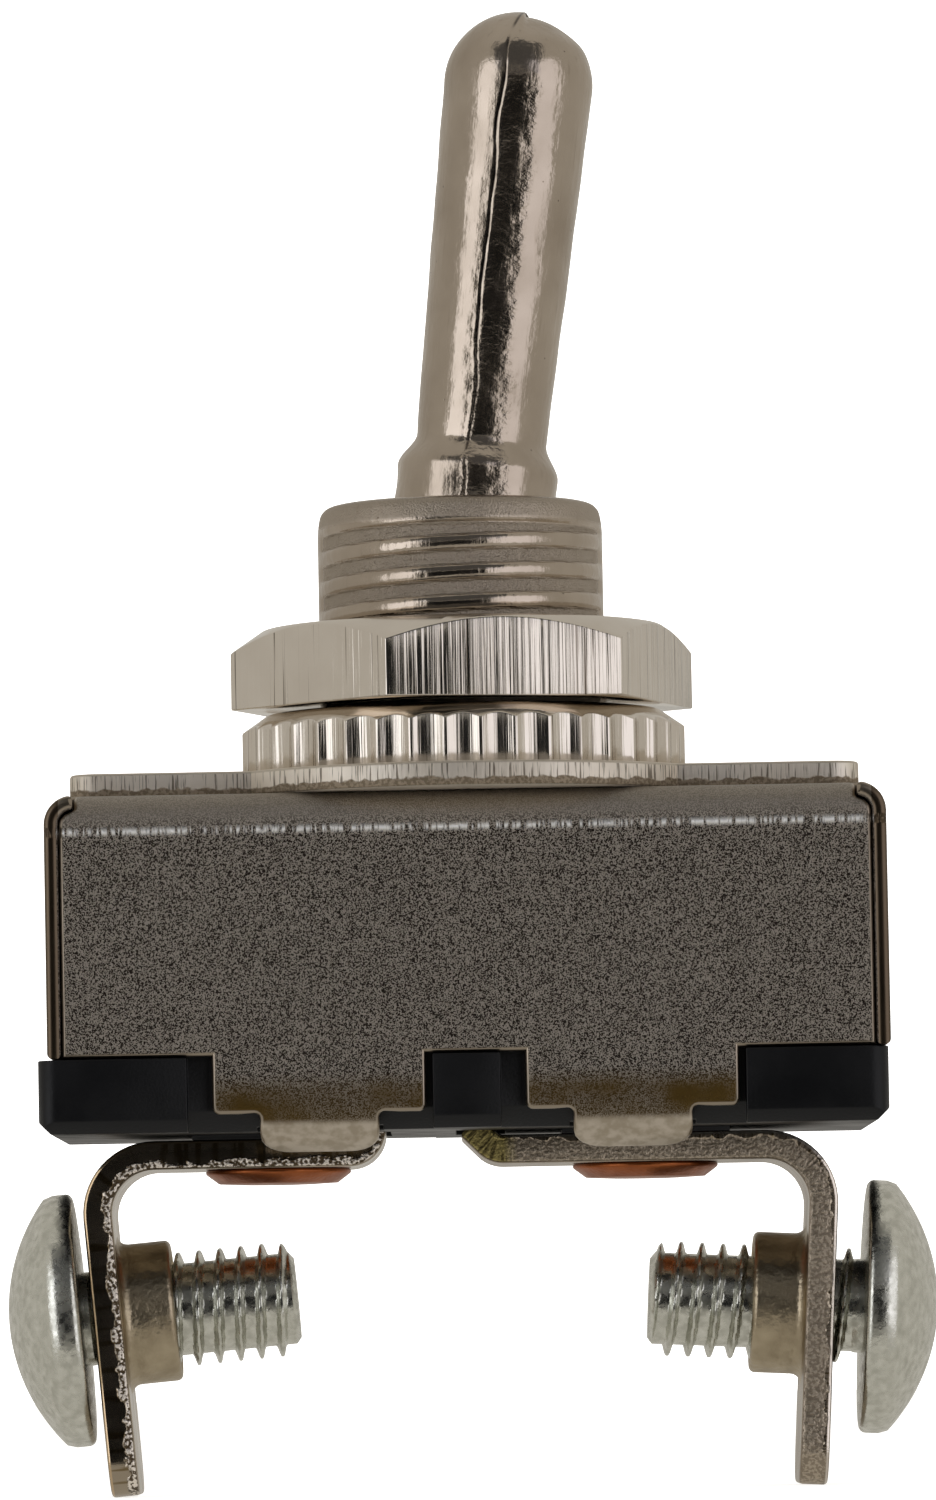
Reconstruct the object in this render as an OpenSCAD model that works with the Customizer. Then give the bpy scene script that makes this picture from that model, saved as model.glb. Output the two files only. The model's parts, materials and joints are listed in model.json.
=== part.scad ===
/* [Panel stem] */
// Outer diameter of the threaded stem
stem_d = 12; // [11:0.1:13]
// Height of the stem over the locating plate
stem_h = 11.4; // [10.8:0.1:13]
// Bore of the stem, which the lever swings in
stem_bore_d = 8.5; // [8.4:0.05:8.8]
// Radius of the rounded mouth of the stem
mouth_round = 0.6; // [0.3:0.1:0.8]
// Diameter of the neck that passes through the plate and the can
neck_d = 11.2; // [10.8:0.05:11.4]
// Diameter of the staked collar under the can
stake_d = 13.2; // [12.6:0.1:14]
// Thickness of the staked collar
stake_t = 1; // [0.7:0.1:1.3]
// Distance between turns of the thread
thread_pitch = 1.25; // [1:0.05:1.5]
// Width of a thread groove
groove_w = 0.45; // [0.3:0.05:0.47]
// Depth of a thread groove
groove_depth = 0.3; // [0.1:0.05:0.4]
// Width of the relief groove that ends the nuts' stretch of thread
relief_w = 0.6; // [0.55:0.05:0.7]

/* [Nuts] */
// Width of the hexagon nut across its flats
hex_af = 17.2; // [16:0.1:18]
// Thickness of the hexagon nut
hex_t = 3.4; // [2.8:0.1:3.8]
// Height of the chamfer on the hexagon nut at its corners
hex_chamfer = 1.1; // [0.6:0.1:1.3]
// Distance of the chamfer's top edge inside the hexagon's flats
hex_face_in = 0.2; // [0.1:0.05:0.5]
// Turn of the hexagon nut about the stem, in degrees
hex_turn = 11.7; // [0:0.1:59]
// Diameter of the fluted ring nut
ring_d = 18.65; // [17:0.05:20]
// Thickness of the fluted ring nut
ring_t = 2.55; // [2:0.05:3]
// Number of flutes round the ring nut
flute_count = 40; // [30:1:48]
// Depth of a flute
flute_depth = 0.24; // [0.1:0.02:0.35]
// Radius of the tool that cuts a flute
flute_r = 1.1; // [0.9:0.05:1.4]
// Height of the chamfer on the ring nut
ring_chamfer = 0.7; // [0.3:0.05:1]
// Width of the chamfer on the ring nut
ring_chamfer_w = 1; // [0.5:0.05:1.3]
// Gap between the two nuts as they are run down
nut_gap = 0.2; // [0.1:0.05:0.4]

/* [Locating plate] */
// Thickness of the locating plate
plate_t = 1.05; // [0.8:0.05:1.4]
// Length of the locating plate over its arms
plate_l = 32.8; // [28:0.1:34]
// Width of the plate's arms
plate_arm_w = 12.4; // [10:0.1:14]
// Diameter of the plate's round middle
plate_disc_d = 21.6; // [19:0.1:23]
// Corner radius of the plate's arms
plate_corner_r = 1.2; // [0.5:0.1:2]

/* [Can] */
// Length of the can
can_l = 34.7; // [33:0.1:37]
// Depth of the can, front to back
can_w = 18.4; // [17.6:0.1:20]
// Height of the can's walls
can_h = 10.85; // [10.2:0.05:11.6]
// Thickness of the can's sheet
sheet_t = 0.6; // [0.5:0.05:0.7]
// Outer radius of the can's bends
can_bend_r = 1.2; // [1:0.05:1.5]
// Open seam between two walls of the can
seam = 0.15; // [0.05:0.05:0.3]
// Width of a crimp tab
tab_w = 8.8; // [7:0.1:9.4]
// Height of a crimp tab below the wall
tab_h = 2.4; // [2:0.1:2.7]
// Corner radius of a crimp tab
tab_corner_r = 0.8; // [0.3:0.1:1.1]
// Distance of the tabs from the can's middle
tab_x = 6.44; // [6:0.02:7]
// Width of the lip that is rolled under the base
lip_w = 4.9; // [3:0.1:6]
// Length of the flat part of the lip
lip_flat = 0.8; // [0.3:0.1:1.2]
// How far the can stands off the base's middle
can_shift = 0.25; // [0:0.05:0.4]

/* [Base] */
// Length of the base
base_l = 35; // [34:0.1:37]
// Depth of the base
base_w = 18.5; // [17.8:0.1:20]
// Thickness of the base's flange
base_t = 3.05; // [2.8:0.05:3.4]
// Radius of the base's upright corners
base_corner_r = 0.8; // [0.3:0.1:1.5]
// Thickness of the floor that the contacts are riveted to
floor_t = 2.2; // [2:0.05:2.4]
// Width of the recess that takes a crimp tab
recess_w = 10.1; // [9.6:0.1:11]
// Depth of the pocket under the base for a rolled lip
pocket_depth = 0.2; // [0.1:0.05:0.3]
// Height of the rim inside the can
rim_h = 2.7; // [2:0.1:3.5]
// Thickness of the rim
rim_t = 1.4; // [1:0.1:1.8]
// Chamfer along the base's lower edge
base_chamfer = 0.5; // [0.2:0.1:0.8]
// Height of the pads under the terminals
pad_t = 0.2; // [0.1:0.05:0.4]
// Length of the pads under the terminals
pad_l = 7; // [6:0.1:8]
// Depth of the slots that take the terminals' turned-up ends
end_slot_depth = 1.2; // [1.1:0.05:1.3]
// Length of the post that stops the rocker's free end
post_l = 3; // [2:0.1:3.2]
// Width of that post
post_w = 4; // [3:0.1:5]
// Thickness of the fibre liner
liner_t = 0.4; // [0.25:0.05:0.5]

/* [Lever] */
// Height of the lever's pivot over the plate
pivot_z = 6.2; // [5.8:0.1:6.6]
// Angle from the middle to either end of the throw, in degrees
throw = 7; // [5:0.5:8]
// Length of the lever from pivot to tip
lever_l = 26.3; // [22:0.1:32]
// Diameter of the lever near its tip
bat_d = 6.3; // [5:0.1:7]
// Diameter of the bat above its collar
bat_neck_d = 5.5; // [4.5:0.1:6.4]
// Diameter of the lever's collar
collar_d = 6.8; // [6.5:0.1:7]
// Distance from pivot to the top of the collar
collar_top = 7.3; // [6.6:0.1:8.4]
// Radius of the collar's shoulder
collar_round = 0.55; // [0.2:0.05:0.6]
// Diameter of the ball round the pivot
ball_d = 8; // [7.6:0.05:8.2]
// Diameter of the shank below the pivot
shank_d = 5.2; // [4.8:0.1:5.6]
// Distance from pivot to the lower end of the shank
shank_l = 11; // [10:0.1:11.5]
// Diameter of the pivot pin
pin_d = 2; // [1.6:0.1:2.2]
// Length of the pivot pin
pin_l = 9.6; // [9.2:0.1:9.8]
// Diameter of the plunger
plunger_d = 3; // [2.6:0.1:3.2]
// Metal between the pivot pin and the plunger's bore
bore_web = 1; // [0.6:0.1:1.4]
// Length of plunger inside the shank
plunger_in = 3.5; // [3:0.1:4]
// Wire diameter of the plunger spring
wire_d = 0.4; // [0.3:0.05:0.45]
// Turns of the plunger spring
spring_turns = 7; // [5:1:9]

/* [Contacts] */
// Height of the rocker's axis over the floor of the base
rocker_z = 2.5; // [2.4:0.05:2.7]
// Angle from level to either end of the rocker's travel, in degrees
rocker_throw = 5; // [4.5:0.1:5.5]
// Length of the rocker
rocker_l = 27.6; // [26:0.1:28.2]
// Width of the rocker
rocker_w = 5; // [4:0.1:6]
// Thickness of the rocker
rocker_t = 1; // [0.8:0.05:1.1]
// Distance of the rocker's underside over its axis
rocker_rise = 0.9; // [0.8:0.05:1]
// Diameter of the rocker's pin
rocker_pin_d = 1.6; // [1.2:0.1:1.8]
// Thickness of the ears that the rocker's pin passes through
ear_t = 0.8; // [0.6:0.05:0.9]
// Metal round the pin in the ears
ear_wall = 0.7; // [0.5:0.05:0.8]
// How far the rocker's pin stands out of the ears
pin_over = 0.2; // [0.1:0.05:0.4]
// Distance of the contact from the rocker's axis
contact_x = 12; // [11.2:0.1:12.2]
// Diameter of a contact button
contact_d = 3.2; // [2.6:0.1:3.3]
// Height of a contact button
contact_h = 0.55; // [0.4:0.05:0.7]
// Height of a contact button's crown
crown = 0.15; // [0.05:0.05:0.2]
// Thickness of the inner contact strips
strip_t = 0.8; // [0.6:0.05:0.9]
// Width of the inner contact strips
strip_w = 7; // [6.6:0.1:8]
// Reach of the inner strip past the left rivet
strip_over = 3; // [2.6:0.1:3.4]
// Strip left round the fixed contact
strip_edge = 0.4; // [0.2:0.05:0.6]

/* [Terminals] */
// Thickness of the terminal strip
term_t = 1.2; // [1:0.05:1.4]
// Width of the terminal strip
term_w = 7.5; // [6.6:0.1:8.4]
// Outer radius of the terminal's main bend
term_bend_r = 3; // [2.4:0.1:3.4]
// Outer radius of the bend at the terminal's inner end
tab_bend_r = 1.5; // [1.4:0.05:1.6]
// Angle that the left terminal's inner end is turned up by, in degrees
left_turn = 84; // [60:1:90]
// Angle that the right terminal's inner end is turned up by, in degrees
right_turn = 45; // [40:1:60]
// Straight length of the left terminal's inner end past its bend
left_end_l = 0.6; // [0.3:0.05:0.8]
// Straight length of the right terminal's inner end past its bend
right_end_l = 1.05; // [0.7:0.05:1.3]
// Distance from the left rivet to the bend at the inner end
left_end_x = 3.05; // [2.9:0.05:3.4]
// Distance from the right rivet to the bend at the inner end
right_end_x = 5.95; // [5.4:0.05:6]
// Reach of the left terminal from the stem's axis
left_reach = 16.2; // [15.5:0.05:16.8]
// Reach of the right terminal from the stem's axis
right_reach = 15.25; // [14.8:0.05:16]
// Inward lean of the left terminal's leg, in degrees
left_lean = 4.8; // [0:0.1:7]
// Inward lean of the right terminal's leg, in degrees
right_lean = 3.2; // [0:0.1:7]
// Height of the terminals' tips
leg_tip_z = -30; // [-34:0.1:-28]
// Corner radius of the terminals' tips
leg_corner_r = 1.7; // [0.5:0.1:3]
// Height of the screws' axes at the legs
screw_z = -22.5; // [-23.5:0.1:-22]
// Outer diameter of the tapped boss
boss_d = 5.9; // [5.6:0.1:6.6]
// Length of the tapped boss
boss_l = 2.2; // [1.5:0.1:3]
// Distance of the left rivet from the stem's axis
left_rivet_x = 8.1; // [7.6:0.1:8.6]
// Distance of the right rivet from the stem's axis
right_rivet_x = 7.3; // [7:0.1:8]
// Diameter of a rivet's shank
rivet_d = 3; // [2.4:0.1:3.4]
// Diameter of a rivet's rolled head
rivet_head_d = 6.1; // [5:0.1:6.6]
// Height of a rivet's rolled head
rivet_head_h = 0.65; // [0.4:0.05:0.9]
// Width and height of the flange that a rivet is set with inside
rivet_set = 0.6; // [0.4:0.05:0.65]

/* [Screws] */
// Diameter of a terminal screw's thread
screw_d = 4.8; // [4.4:0.1:5]
// Length of a terminal screw under its head
screw_l = 9; // [8:0.1:10]
// Diameter of a terminal screw's head
head_d = 10.6; // [9:0.1:11.4]
// Thickness of the head's rim
head_rim = 0.95; // [0.6:0.05:1.2]
// Height of the dome over the rim
head_dome = 2.2; // [1.4:0.1:2.6]
// Chamfer at the screw's point
screw_chamfer = 0.4; // [0.2:0.05:0.7]
// Width of the driver slot
slot_w = 1.3; // [1:0.1:1.6]
// Depth of the driver slot
slot_depth = 1.5; // [1:0.1:2]
// Gap under the left screw's head
left_gap = 0.5; // [0.3:0.05:2]
// Gap under the right screw's head
right_gap = 1.3; // [0.3:0.05:2]

/* [Fits] */
// Radial clearance of the nuts, pins and screws
fit = 0.05; // [0.03:0.01:0.08]
// Clearance between pieces that are set beside each other
set_gap = 0.05; // [0.03:0.01:0.08]
// Least gap between the plunger's tip and the level rocker
tip_gap = 0.06; // [0.05:0.01:0.1]
// Gap left between the closed contacts
closed_gap = 0.1; // [0.05:0.01:0.15]

/* [Hidden] */
$fn = 48;
// Overlap that keeps a cut from leaving a skin
cut = 1;

can_top_z = -plate_t;
can_inner_z = can_top_z - sheet_t;
flap_z = can_top_z - can_h;
base_bottom_z = flap_z - base_t - set_gap;
pad_z = base_bottom_z - pad_t;
floor_z = base_bottom_z + floor_t;
rim_z = flap_z - set_gap + rim_h;
strip_z = floor_z + strip_t;
ring_z = set_gap;
hex_z = ring_z + ring_t + nut_gap;
recess_y = can_w / 2 - sheet_t - set_gap;
pocket_z = base_bottom_z + pocket_depth;
lip_bend_r = can_bend_r;
rocker_axis_z = floor_z + rocker_z;
rocker_top = rocker_rise + rocker_t;
plunger_r = plunger_d / 2;
tip_l = pivot_z - rocker_axis_z - rocker_top - plunger_r - tip_gap;
bore_r = plunger_r + fit;
bore_top = pin_d / 2 + bore_web;
spring_top = bore_top + set_gap;
spring_end = shank_l - plunger_in - set_gap;
ear_r = rocker_pin_d / 2 + ear_wall;
// Height of the rocker's underside over the contact, at the contact's end when tipped
contact_z = rocker_axis_z + rocker_rise * cos(rocker_throw) - contact_x * sin(rocker_throw);

// Points of an arc about (x, y), from angle a0 to a1
function arc(x, y, r, a0, a1, steps = 8) =
    [for (i = [0:steps]) let (a = a0 + (a1 - a0) * i / steps) [x + r * cos(a), y + r * sin(a)]];

// A rod along Y, through the point (x, z)
module rod_y(x, z, r, l) {
    translate([x, 0, z]) rotate([90, 0, 0]) cylinder(r = r, h = l, center = true);
}

// Outline of a bent sheet: a flat of length a on top, a bend of outer radius r about the origin
// through sweep degrees, and a straight of length b past it
function bent_sheet(t, r, a, b, sweep = 90) =
    let (end = 90 - sweep, along = [b * sin(end), -b * cos(end)])
    concat(
        [[-a, r]],
        arc(0, 0, r, 90, end),
        [
            [r * cos(end), r * sin(end)] + along,
            [(r - t) * cos(end), (r - t) * sin(end)] + along
        ],
        arc(0, 0, r - t, end, 90),
        [[-a, r - t]]
    );

// A bent sheet of width w in the XZ plane, with its bend's axis at (x, z)
module sheet_xz(x, z, w, t, r, a, b, sweep = 90) {
    translate([x, 0, z]) rotate([90, 0, 0])
        linear_extrude(w, center = true) polygon(bent_sheet(t, r, a, b, sweep));
}

// The lever's own frame, upright about its pivot and leaned to its resting side
module lever_frame() {
    translate([0, 0, pivot_z]) rotate([0, throw, 0]) children();
}

// The rocker's own frame, level about its axis and tipped to its resting side
module rocker_frame() {
    translate([0, 0, rocker_axis_z]) rotate([0, -rocker_throw, 0]) children();
}

module locating_plate() {
    arm = [plate_l, plate_arm_w];
    color("silver") difference() {
        union() {
            translate([-arm.x / 2 + plate_corner_r, -arm.y / 2, -plate_t])
                cube([arm.x - 2 * plate_corner_r, arm.y, plate_t]);
            translate([-arm.x / 2, -arm.y / 2 + plate_corner_r, -plate_t])
                cube([arm.x, arm.y - 2 * plate_corner_r, plate_t]);
            for (x = [-1, 1], y = [-1, 1])
                translate([
                    x * (arm.x / 2 - plate_corner_r),
                    y * (arm.y / 2 - plate_corner_r),
                    -plate_t
                ])
                    cylinder(r = plate_corner_r, h = plate_t);
            translate([0, 0, -plate_t]) cylinder(d = plate_disc_d, h = plate_t, $fn = 96);
        }
        translate([0, 0, -plate_t - cut])
            cylinder(d = neck_d + 2 * set_gap, h = plate_t + 2 * cut);
    }
}

// One turn of the stem's thread, as a ring-shaped groove about height z
module thread_groove(z, w) {
    r = stem_d / 2;
    floor_w = 0.4 * w;
    rotate_extrude(convexity = 4) polygon([
        [r + cut, z - w / 2],
        [r, z - w / 2],
        [r - groove_depth, z - floor_w / 2],
        [r - groove_depth, z + floor_w / 2],
        [r, z + w / 2],
        [r + cut, z + w / 2]
    ]);
}

module stem_bushing() {
    r = stem_d / 2;
    bore = stem_bore_d / 2;
    bottom = can_inner_z - stake_t;
    relief_z = hex_z + hex_t;
    top_turn = floor((stem_h - mouth_round - groove_w / 2 - relief_z) / thread_pitch);
    low_turn = floor((relief_z - groove_w) / thread_pitch);
    slot_r = pin_d / 2 + fit;
    slot_l = pin_l + 4 * set_gap;
    color("silver") difference() {
        rotate_extrude(convexity = 4) polygon(concat(
            [
                [bore, bottom],
                [stake_d / 2, bottom],
                [stake_d / 2, can_inner_z],
                [neck_d / 2, can_inner_z],
                [neck_d / 2, 0],
                [r, 0]
            ],
            arc(r - mouth_round, stem_h - mouth_round, mouth_round, 0, 90),
            [[bore + mouth_round / 2, stem_h], [bore, stem_h - mouth_round / 2]]
        ));
        for (turn = [-low_turn:top_turn])
            thread_groove(relief_z + turn * thread_pitch, turn == 0 ? relief_w : groove_w);
        rod_y(0, pivot_z, slot_r, slot_l);
        translate([-slot_r, -slot_l / 2, bottom - cut])
            cube([2 * slot_r, slot_l, pivot_z - bottom + cut]);
    }
}

module lever() {
    top_r = bat_d / 2;
    neck_r = bat_neck_d / 2;
    collar_r = collar_d / 2;
    ball_r = ball_d / 2;
    shank_r = shank_d / 2;
    ball_up = sqrt(ball_r * ball_r - collar_r * collar_r);
    ball_down = sqrt(ball_r * ball_r - shank_r * shank_r);
    color("silver") lever_frame() difference() {
        union() {
            sphere(r = ball_r);
            translate([0, 0, -shank_l]) cylinder(r = shank_r, h = shank_l);
            rotate_extrude(convexity = 4) polygon(concat(
                [[0, 0], [collar_r, 0]],
                arc(collar_r - collar_round, collar_top - collar_round, collar_round, 0, 80),
                [[neck_r, collar_top + collar_round]],
                arc(0, lever_l - top_r, top_r, 4, 90, 12)
            ));
        }
        rod_y(0, 0, pin_d / 2, ball_d + 2 * cut);
        translate([0, 0, -shank_l - cut]) cylinder(r = bore_r, h = shank_l + cut - bore_top);
    }
}

module pivot_pin() {
    color("gray") lever_frame() rod_y(0, 0, pin_d / 2, pin_l);
}

module hex_nut() {
    corner_r = hex_af / sqrt(3);
    flat_r = hex_af / 2;
    margin = 0.1;
    color("silver") translate([0, 0, hex_z]) rotate([0, 0, hex_turn]) difference() {
        intersection() {
            cylinder(r = corner_r, h = hex_t, $fn = 6);
            rotate_extrude(convexity = 4) polygon([
                [0, 0],
                [corner_r + margin, 0],
                [corner_r + margin, hex_t - hex_chamfer],
                [flat_r - hex_face_in, hex_t],
                [0, hex_t]
            ]);
        }
        translate([0, 0, -cut]) cylinder(d = stem_d + 2 * fit, h = hex_t + 2 * cut);
    }
}

module ring_nut() {
    r = ring_d / 2;
    color("silver") translate([0, 0, ring_z]) difference() {
        rotate_extrude(convexity = 4) polygon([
            [0, 0],
            [r, 0],
            [r, ring_t - ring_chamfer],
            [r - ring_chamfer_w, ring_t],
            [0, ring_t]
        ]);
        translate([0, 0, -cut]) cylinder(d = stem_d + 2 * fit, h = ring_t + 2 * cut);
        for (i = [1:flute_count])
            rotate([0, 0, i * 360 / flute_count])
                translate([r + flute_r - flute_depth, 0, -cut])
                    cylinder(r = flute_r, h = ring_t + 2 * cut, $fn = 32);
    }
}

// Outline of the front wall, from its left to its right lower corner, round both crimp tabs
function wall_outline(half, top) =
    let (bottom = flap_z - tab_h, r = tab_corner_r)
    concat(
        [[half, flap_z], [half, top], [-half, top], [-half, flap_z]],
        [for (x = [can_shift - tab_x, can_shift + tab_x], point = concat(
            [[x - tab_w / 2, flap_z]],
            arc(x - tab_w / 2 + r, bottom + r, r, 180, 270, 5),
            arc(x + tab_w / 2 - r, bottom + r, r, 270, 360, 5),
            [[x + tab_w / 2, flap_z]]
        )) point]
    );

// The front wall below its bend, with its crimp tabs and their rolled lips
module can_wall() {
    half = can_l / 2 - sheet_t - seam;
    lip_z = pocket_z - sheet_t - set_gap + lip_bend_r;
    translate([0, -can_w / 2 + sheet_t, 0]) rotate([90, 0, 0])
        linear_extrude(sheet_t) polygon(wall_outline(half, can_top_z - can_bend_r));
    for (side = [-1, 1])
        translate([side * tab_x + can_shift, -can_w / 2 + lip_bend_r, lip_z])
            rotate([0, 0, -90]) rotate([180, 0, 0])
                sheet_xz(0, 0, lip_w, sheet_t, lip_bend_r, lip_flat, flap_z - lip_z);
}

module can() {
    flat_l = can_l - 2 * can_bend_r;
    flat_w = can_w - 2 * can_bend_r;
    bend_z = can_top_z - can_bend_r;
    lap = 0.5;
    color("dimgray") difference() {
        union() {
            translate([-flat_l / 2, -flat_w / 2, can_inner_z]) cube([flat_l, flat_w, sheet_t]);
            for (side = [0, 180]) rotate([0, 0, side]) {
                sheet_xz(flat_l / 2, bend_z, can_w, sheet_t, can_bend_r, seam, bend_z - flap_z);
                translate([0, -flat_w / 2, 0]) rotate([0, 0, -90])
                    sheet_xz(0, bend_z, flat_l - 4 * seam, sheet_t, can_bend_r, lap, lap);
            }
            can_wall();
            mirror([0, 1, 0]) can_wall();
        }
        translate([0, 0, can_inner_z - cut])
            cylinder(d = neck_d + 2 * set_gap, h = sheet_t + 2 * cut);
    }
}

module insulating_liner() {
    l = can_l - 2 * sheet_t - 2 * can_bend_r;
    w = can_w - 2 * sheet_t - 2 * set_gap;
    top = can_inner_z - set_gap;
    bottom = rim_z + set_gap;
    fold_r = can_bend_r;
    color("tan") difference() {
        for (side = [-1, 1]) rotate([0, 0, side * 90])
            sheet_xz(w / 2 - fold_r, top - fold_r, l, liner_t, fold_r, w / 2 - fold_r + cut,
                top - fold_r - bottom);
        translate([0, 0, top - liner_t - cut])
            cylinder(d = stake_d + 4 * set_gap, h = liner_t + 2 * cut);
    }
}

// The base's flange, with its upright corners rounded and its lower edge chamfered
module base_flange() {
    r = base_corner_r;
    lower = [base_l - 2 * base_chamfer, base_w - 2 * base_chamfer];
    top = flap_z - set_gap;
    h = top - base_bottom_z;
    intersection() {
        union() {
            translate([-base_l / 2 + r, -base_w / 2, base_bottom_z])
                cube([base_l - 2 * r, base_w, h]);
            translate([-base_l / 2, -base_w / 2 + r, base_bottom_z])
                cube([base_l, base_w - 2 * r, h]);
            for (x = [-1, 1], y = [-1, 1])
                translate([x * (base_l / 2 - r), y * (base_w / 2 - r), base_bottom_z])
                    cylinder(r = r, h = h, $fn = 24);
        }
        rotate([90, 0, 0]) linear_extrude(base_w + cut, center = true) polygon([
            [-lower.x / 2, base_bottom_z],
            [lower.x / 2, base_bottom_z],
            [base_l / 2, base_bottom_z + base_chamfer],
            [base_l / 2, top],
            [-base_l / 2, top],
            [-base_l / 2, base_bottom_z + base_chamfer]
        ]);
        rotate([90, 0, 90]) linear_extrude(base_l + cut, center = true) polygon([
            [-lower.y / 2, base_bottom_z],
            [lower.y / 2, base_bottom_z],
            [base_w / 2, base_bottom_z + base_chamfer],
            [base_w / 2, top],
            [-base_w / 2, top],
            [-base_w / 2, base_bottom_z + base_chamfer]
        ]);
    }
}

// Room for one crimp tab at the front of the base, with its lower edge eased for the lip's bend
module crimp_recess() {
    relief = lip_bend_r - sheet_t;
    translate([-recess_w / 2, -base_w / 2 - cut, base_bottom_z - cut])
        cube([recess_w, base_w / 2 + cut - recess_y, base_t + 2 * cut]);
    translate([-recess_w / 2, -recess_y, base_bottom_z]) rotate([45, 0, 0])
        translate([0, -relief, -relief]) cube([recess_w, 2 * relief, 2 * relief]);
}

// Shallow pocket under the base for one rolled lip
module lip_pocket() {
    side_gap = 3 * set_gap;
    reach = lip_bend_r - sheet_t + lip_flat + side_gap;
    translate([-lip_w / 2 - side_gap, -recess_y - cut, base_bottom_z - cut])
        cube([lip_w + 2 * side_gap, reach + cut, cut + pocket_z - base_bottom_z]);
}

// Slot under the base for a terminal's turned-up end, whose bend has its axis at x
module end_slot(x, turn, l) {
    reach = end_reach(turn, l) + 3 * set_gap;
    translate([x - reach, -term_w / 2 - 2 * set_gap, base_bottom_z - cut])
        cube([reach + 2 * set_gap, term_w + 4 * set_gap, cut + end_slot_depth]);
}

module base() {
    mid_x = -can_shift;
    wall_l = can_l - 2 * sheet_t - 2 * can_shift - 2 * set_gap;
    wall_w = 2 * recess_y;
    post_h = contact_z - 2 * closed_gap - floor_z;
    color("#1b1b1d") difference() {
        union() {
            translate([mid_x, 0, 0]) base_flange();
            translate([mid_x - wall_l / 2, -wall_w / 2, floor_z])
                cube([wall_l, wall_w, rim_z - floor_z]);
            for (x = [-left_rivet_x, right_rivet_x])
                translate([x - pad_l / 2, -term_w / 2, pad_z]) cube([pad_l, term_w, pad_t + cut]);
        }
        difference() {
            translate([mid_x - wall_l / 2 + rim_t, -wall_w / 2 + rim_t, floor_z])
                cube([wall_l - 2 * rim_t, wall_w - 2 * rim_t, rim_z - floor_z + cut]);
            translate([contact_x - post_l / 2, -post_w / 2, floor_z - cut])
                cube([post_l, post_w, post_h + cut]);
        }
        for (x = [-left_rivet_x, right_rivet_x])
            translate([x, 0, pad_z - cut])
                cylinder(d = rivet_d + 2 * set_gap, h = floor_z - pad_z + 2 * cut);
        for (side = [-1, 1], back = [0, 1]) mirror([0, back, 0]) {
            translate([side * tab_x - can_shift / 2, 0, 0]) crimp_recess();
            translate([side * tab_x + can_shift, 0, 0]) lip_pocket();
        }
        mirror([1, 0, 0]) end_slot(left_rivet_x - left_end_x, left_turn, left_end_l);
        end_slot(right_rivet_x - right_end_x, right_turn, right_end_l);
    }
}

// How far past its bend's axis a terminal's turned-up end reaches
function end_reach(turn, l) = turn < 90 ? tab_bend_r * sin(turn) + l * cos(turn) : tab_bend_r;

// Where a terminal's leg starts, and its length down to the tip
leg_top_z = pad_z - term_bend_r;
function leg_length(lean) = (leg_top_z - leg_tip_z - term_bend_r * sin(lean)) / cos(lean);
function screw_drop(lean) = (leg_top_z - screw_z - term_bend_r * sin(lean)) / cos(lean);

// A frame on a leg, with X out of its outer face and Z up the leg, at the screw's axis
module screw_frame(side, reach, lean) {
    mirror([side < 0 ? 1 : 0, 0, 0])
        translate([reach - term_bend_r, 0, leg_top_z]) rotate([0, lean, 0])
            translate([term_bend_r, 0, -screw_drop(lean)]) children();
}

// What a rounded corner takes off the leg's tip, for a leg of length l
module tip_corner(l) {
    r = leg_corner_r;
    translate([-term_t - cut, term_w / 2 - r, -l + r]) rotate([90, 0, 90])
        linear_extrude(term_t + 2 * cut)
            polygon(concat([[r + cut, -r - cut], [-cut, -r - cut]], arc(0, 0, r, -90, 0),
                [[r + cut, cut]]));
}

// Terminal strip that reaches out to the right, with its inner end turned up into the base
// about an axis at end_x
module terminal(reach, lean, rivet_x, end_x, turn, end_l) {
    bend_x = reach - term_bend_r;
    leg_l = leg_length(lean);
    mid_l = (bend_x - end_x) / 2;
    lap = 0.5;
    difference() {
        union() {
            sheet_xz(bend_x, leg_top_z, term_w, term_t, term_bend_r, mid_l + lap, leg_l,
                90 + lean);
            translate([end_x, 0, pad_z - term_t + tab_bend_r]) rotate([0, 180, 0])
                sheet_xz(0, 0, term_w, term_t, tab_bend_r, mid_l + lap, end_l, turn);
            screw_frame(1, reach, lean) translate([-term_t - boss_l, 0, 0])
                rotate([0, 90, 0]) cylinder(d = boss_d, h = boss_l + term_t / 2);
        }
        screw_frame(1, reach, lean) translate([-term_t - boss_l - cut, 0, 0])
            rotate([0, 90, 0])
                cylinder(d = screw_d + 2 * fit, h = boss_l + term_t + 2 * cut);
        translate([bend_x, 0, leg_top_z]) rotate([0, lean, 0])
            translate([term_bend_r, 0, 0]) {
                tip_corner(leg_l);
                mirror([0, 1, 0]) tip_corner(leg_l);
            }
        translate([rivet_x, 0, pad_z - term_t - cut])
            cylinder(d = rivet_d + 2 * set_gap, h = term_t + 2 * cut);
    }
}

module terminal_left() {
    color("#a09a8c") mirror([1, 0, 0])
        terminal(left_reach, left_lean, left_rivet_x, left_rivet_x - left_end_x, left_turn,
            left_end_l);
}

module terminal_right() {
    color("#a09a8c")
        terminal(right_reach, right_lean, right_rivet_x, right_rivet_x - right_end_x,
            right_turn, right_end_l);
}

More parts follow.
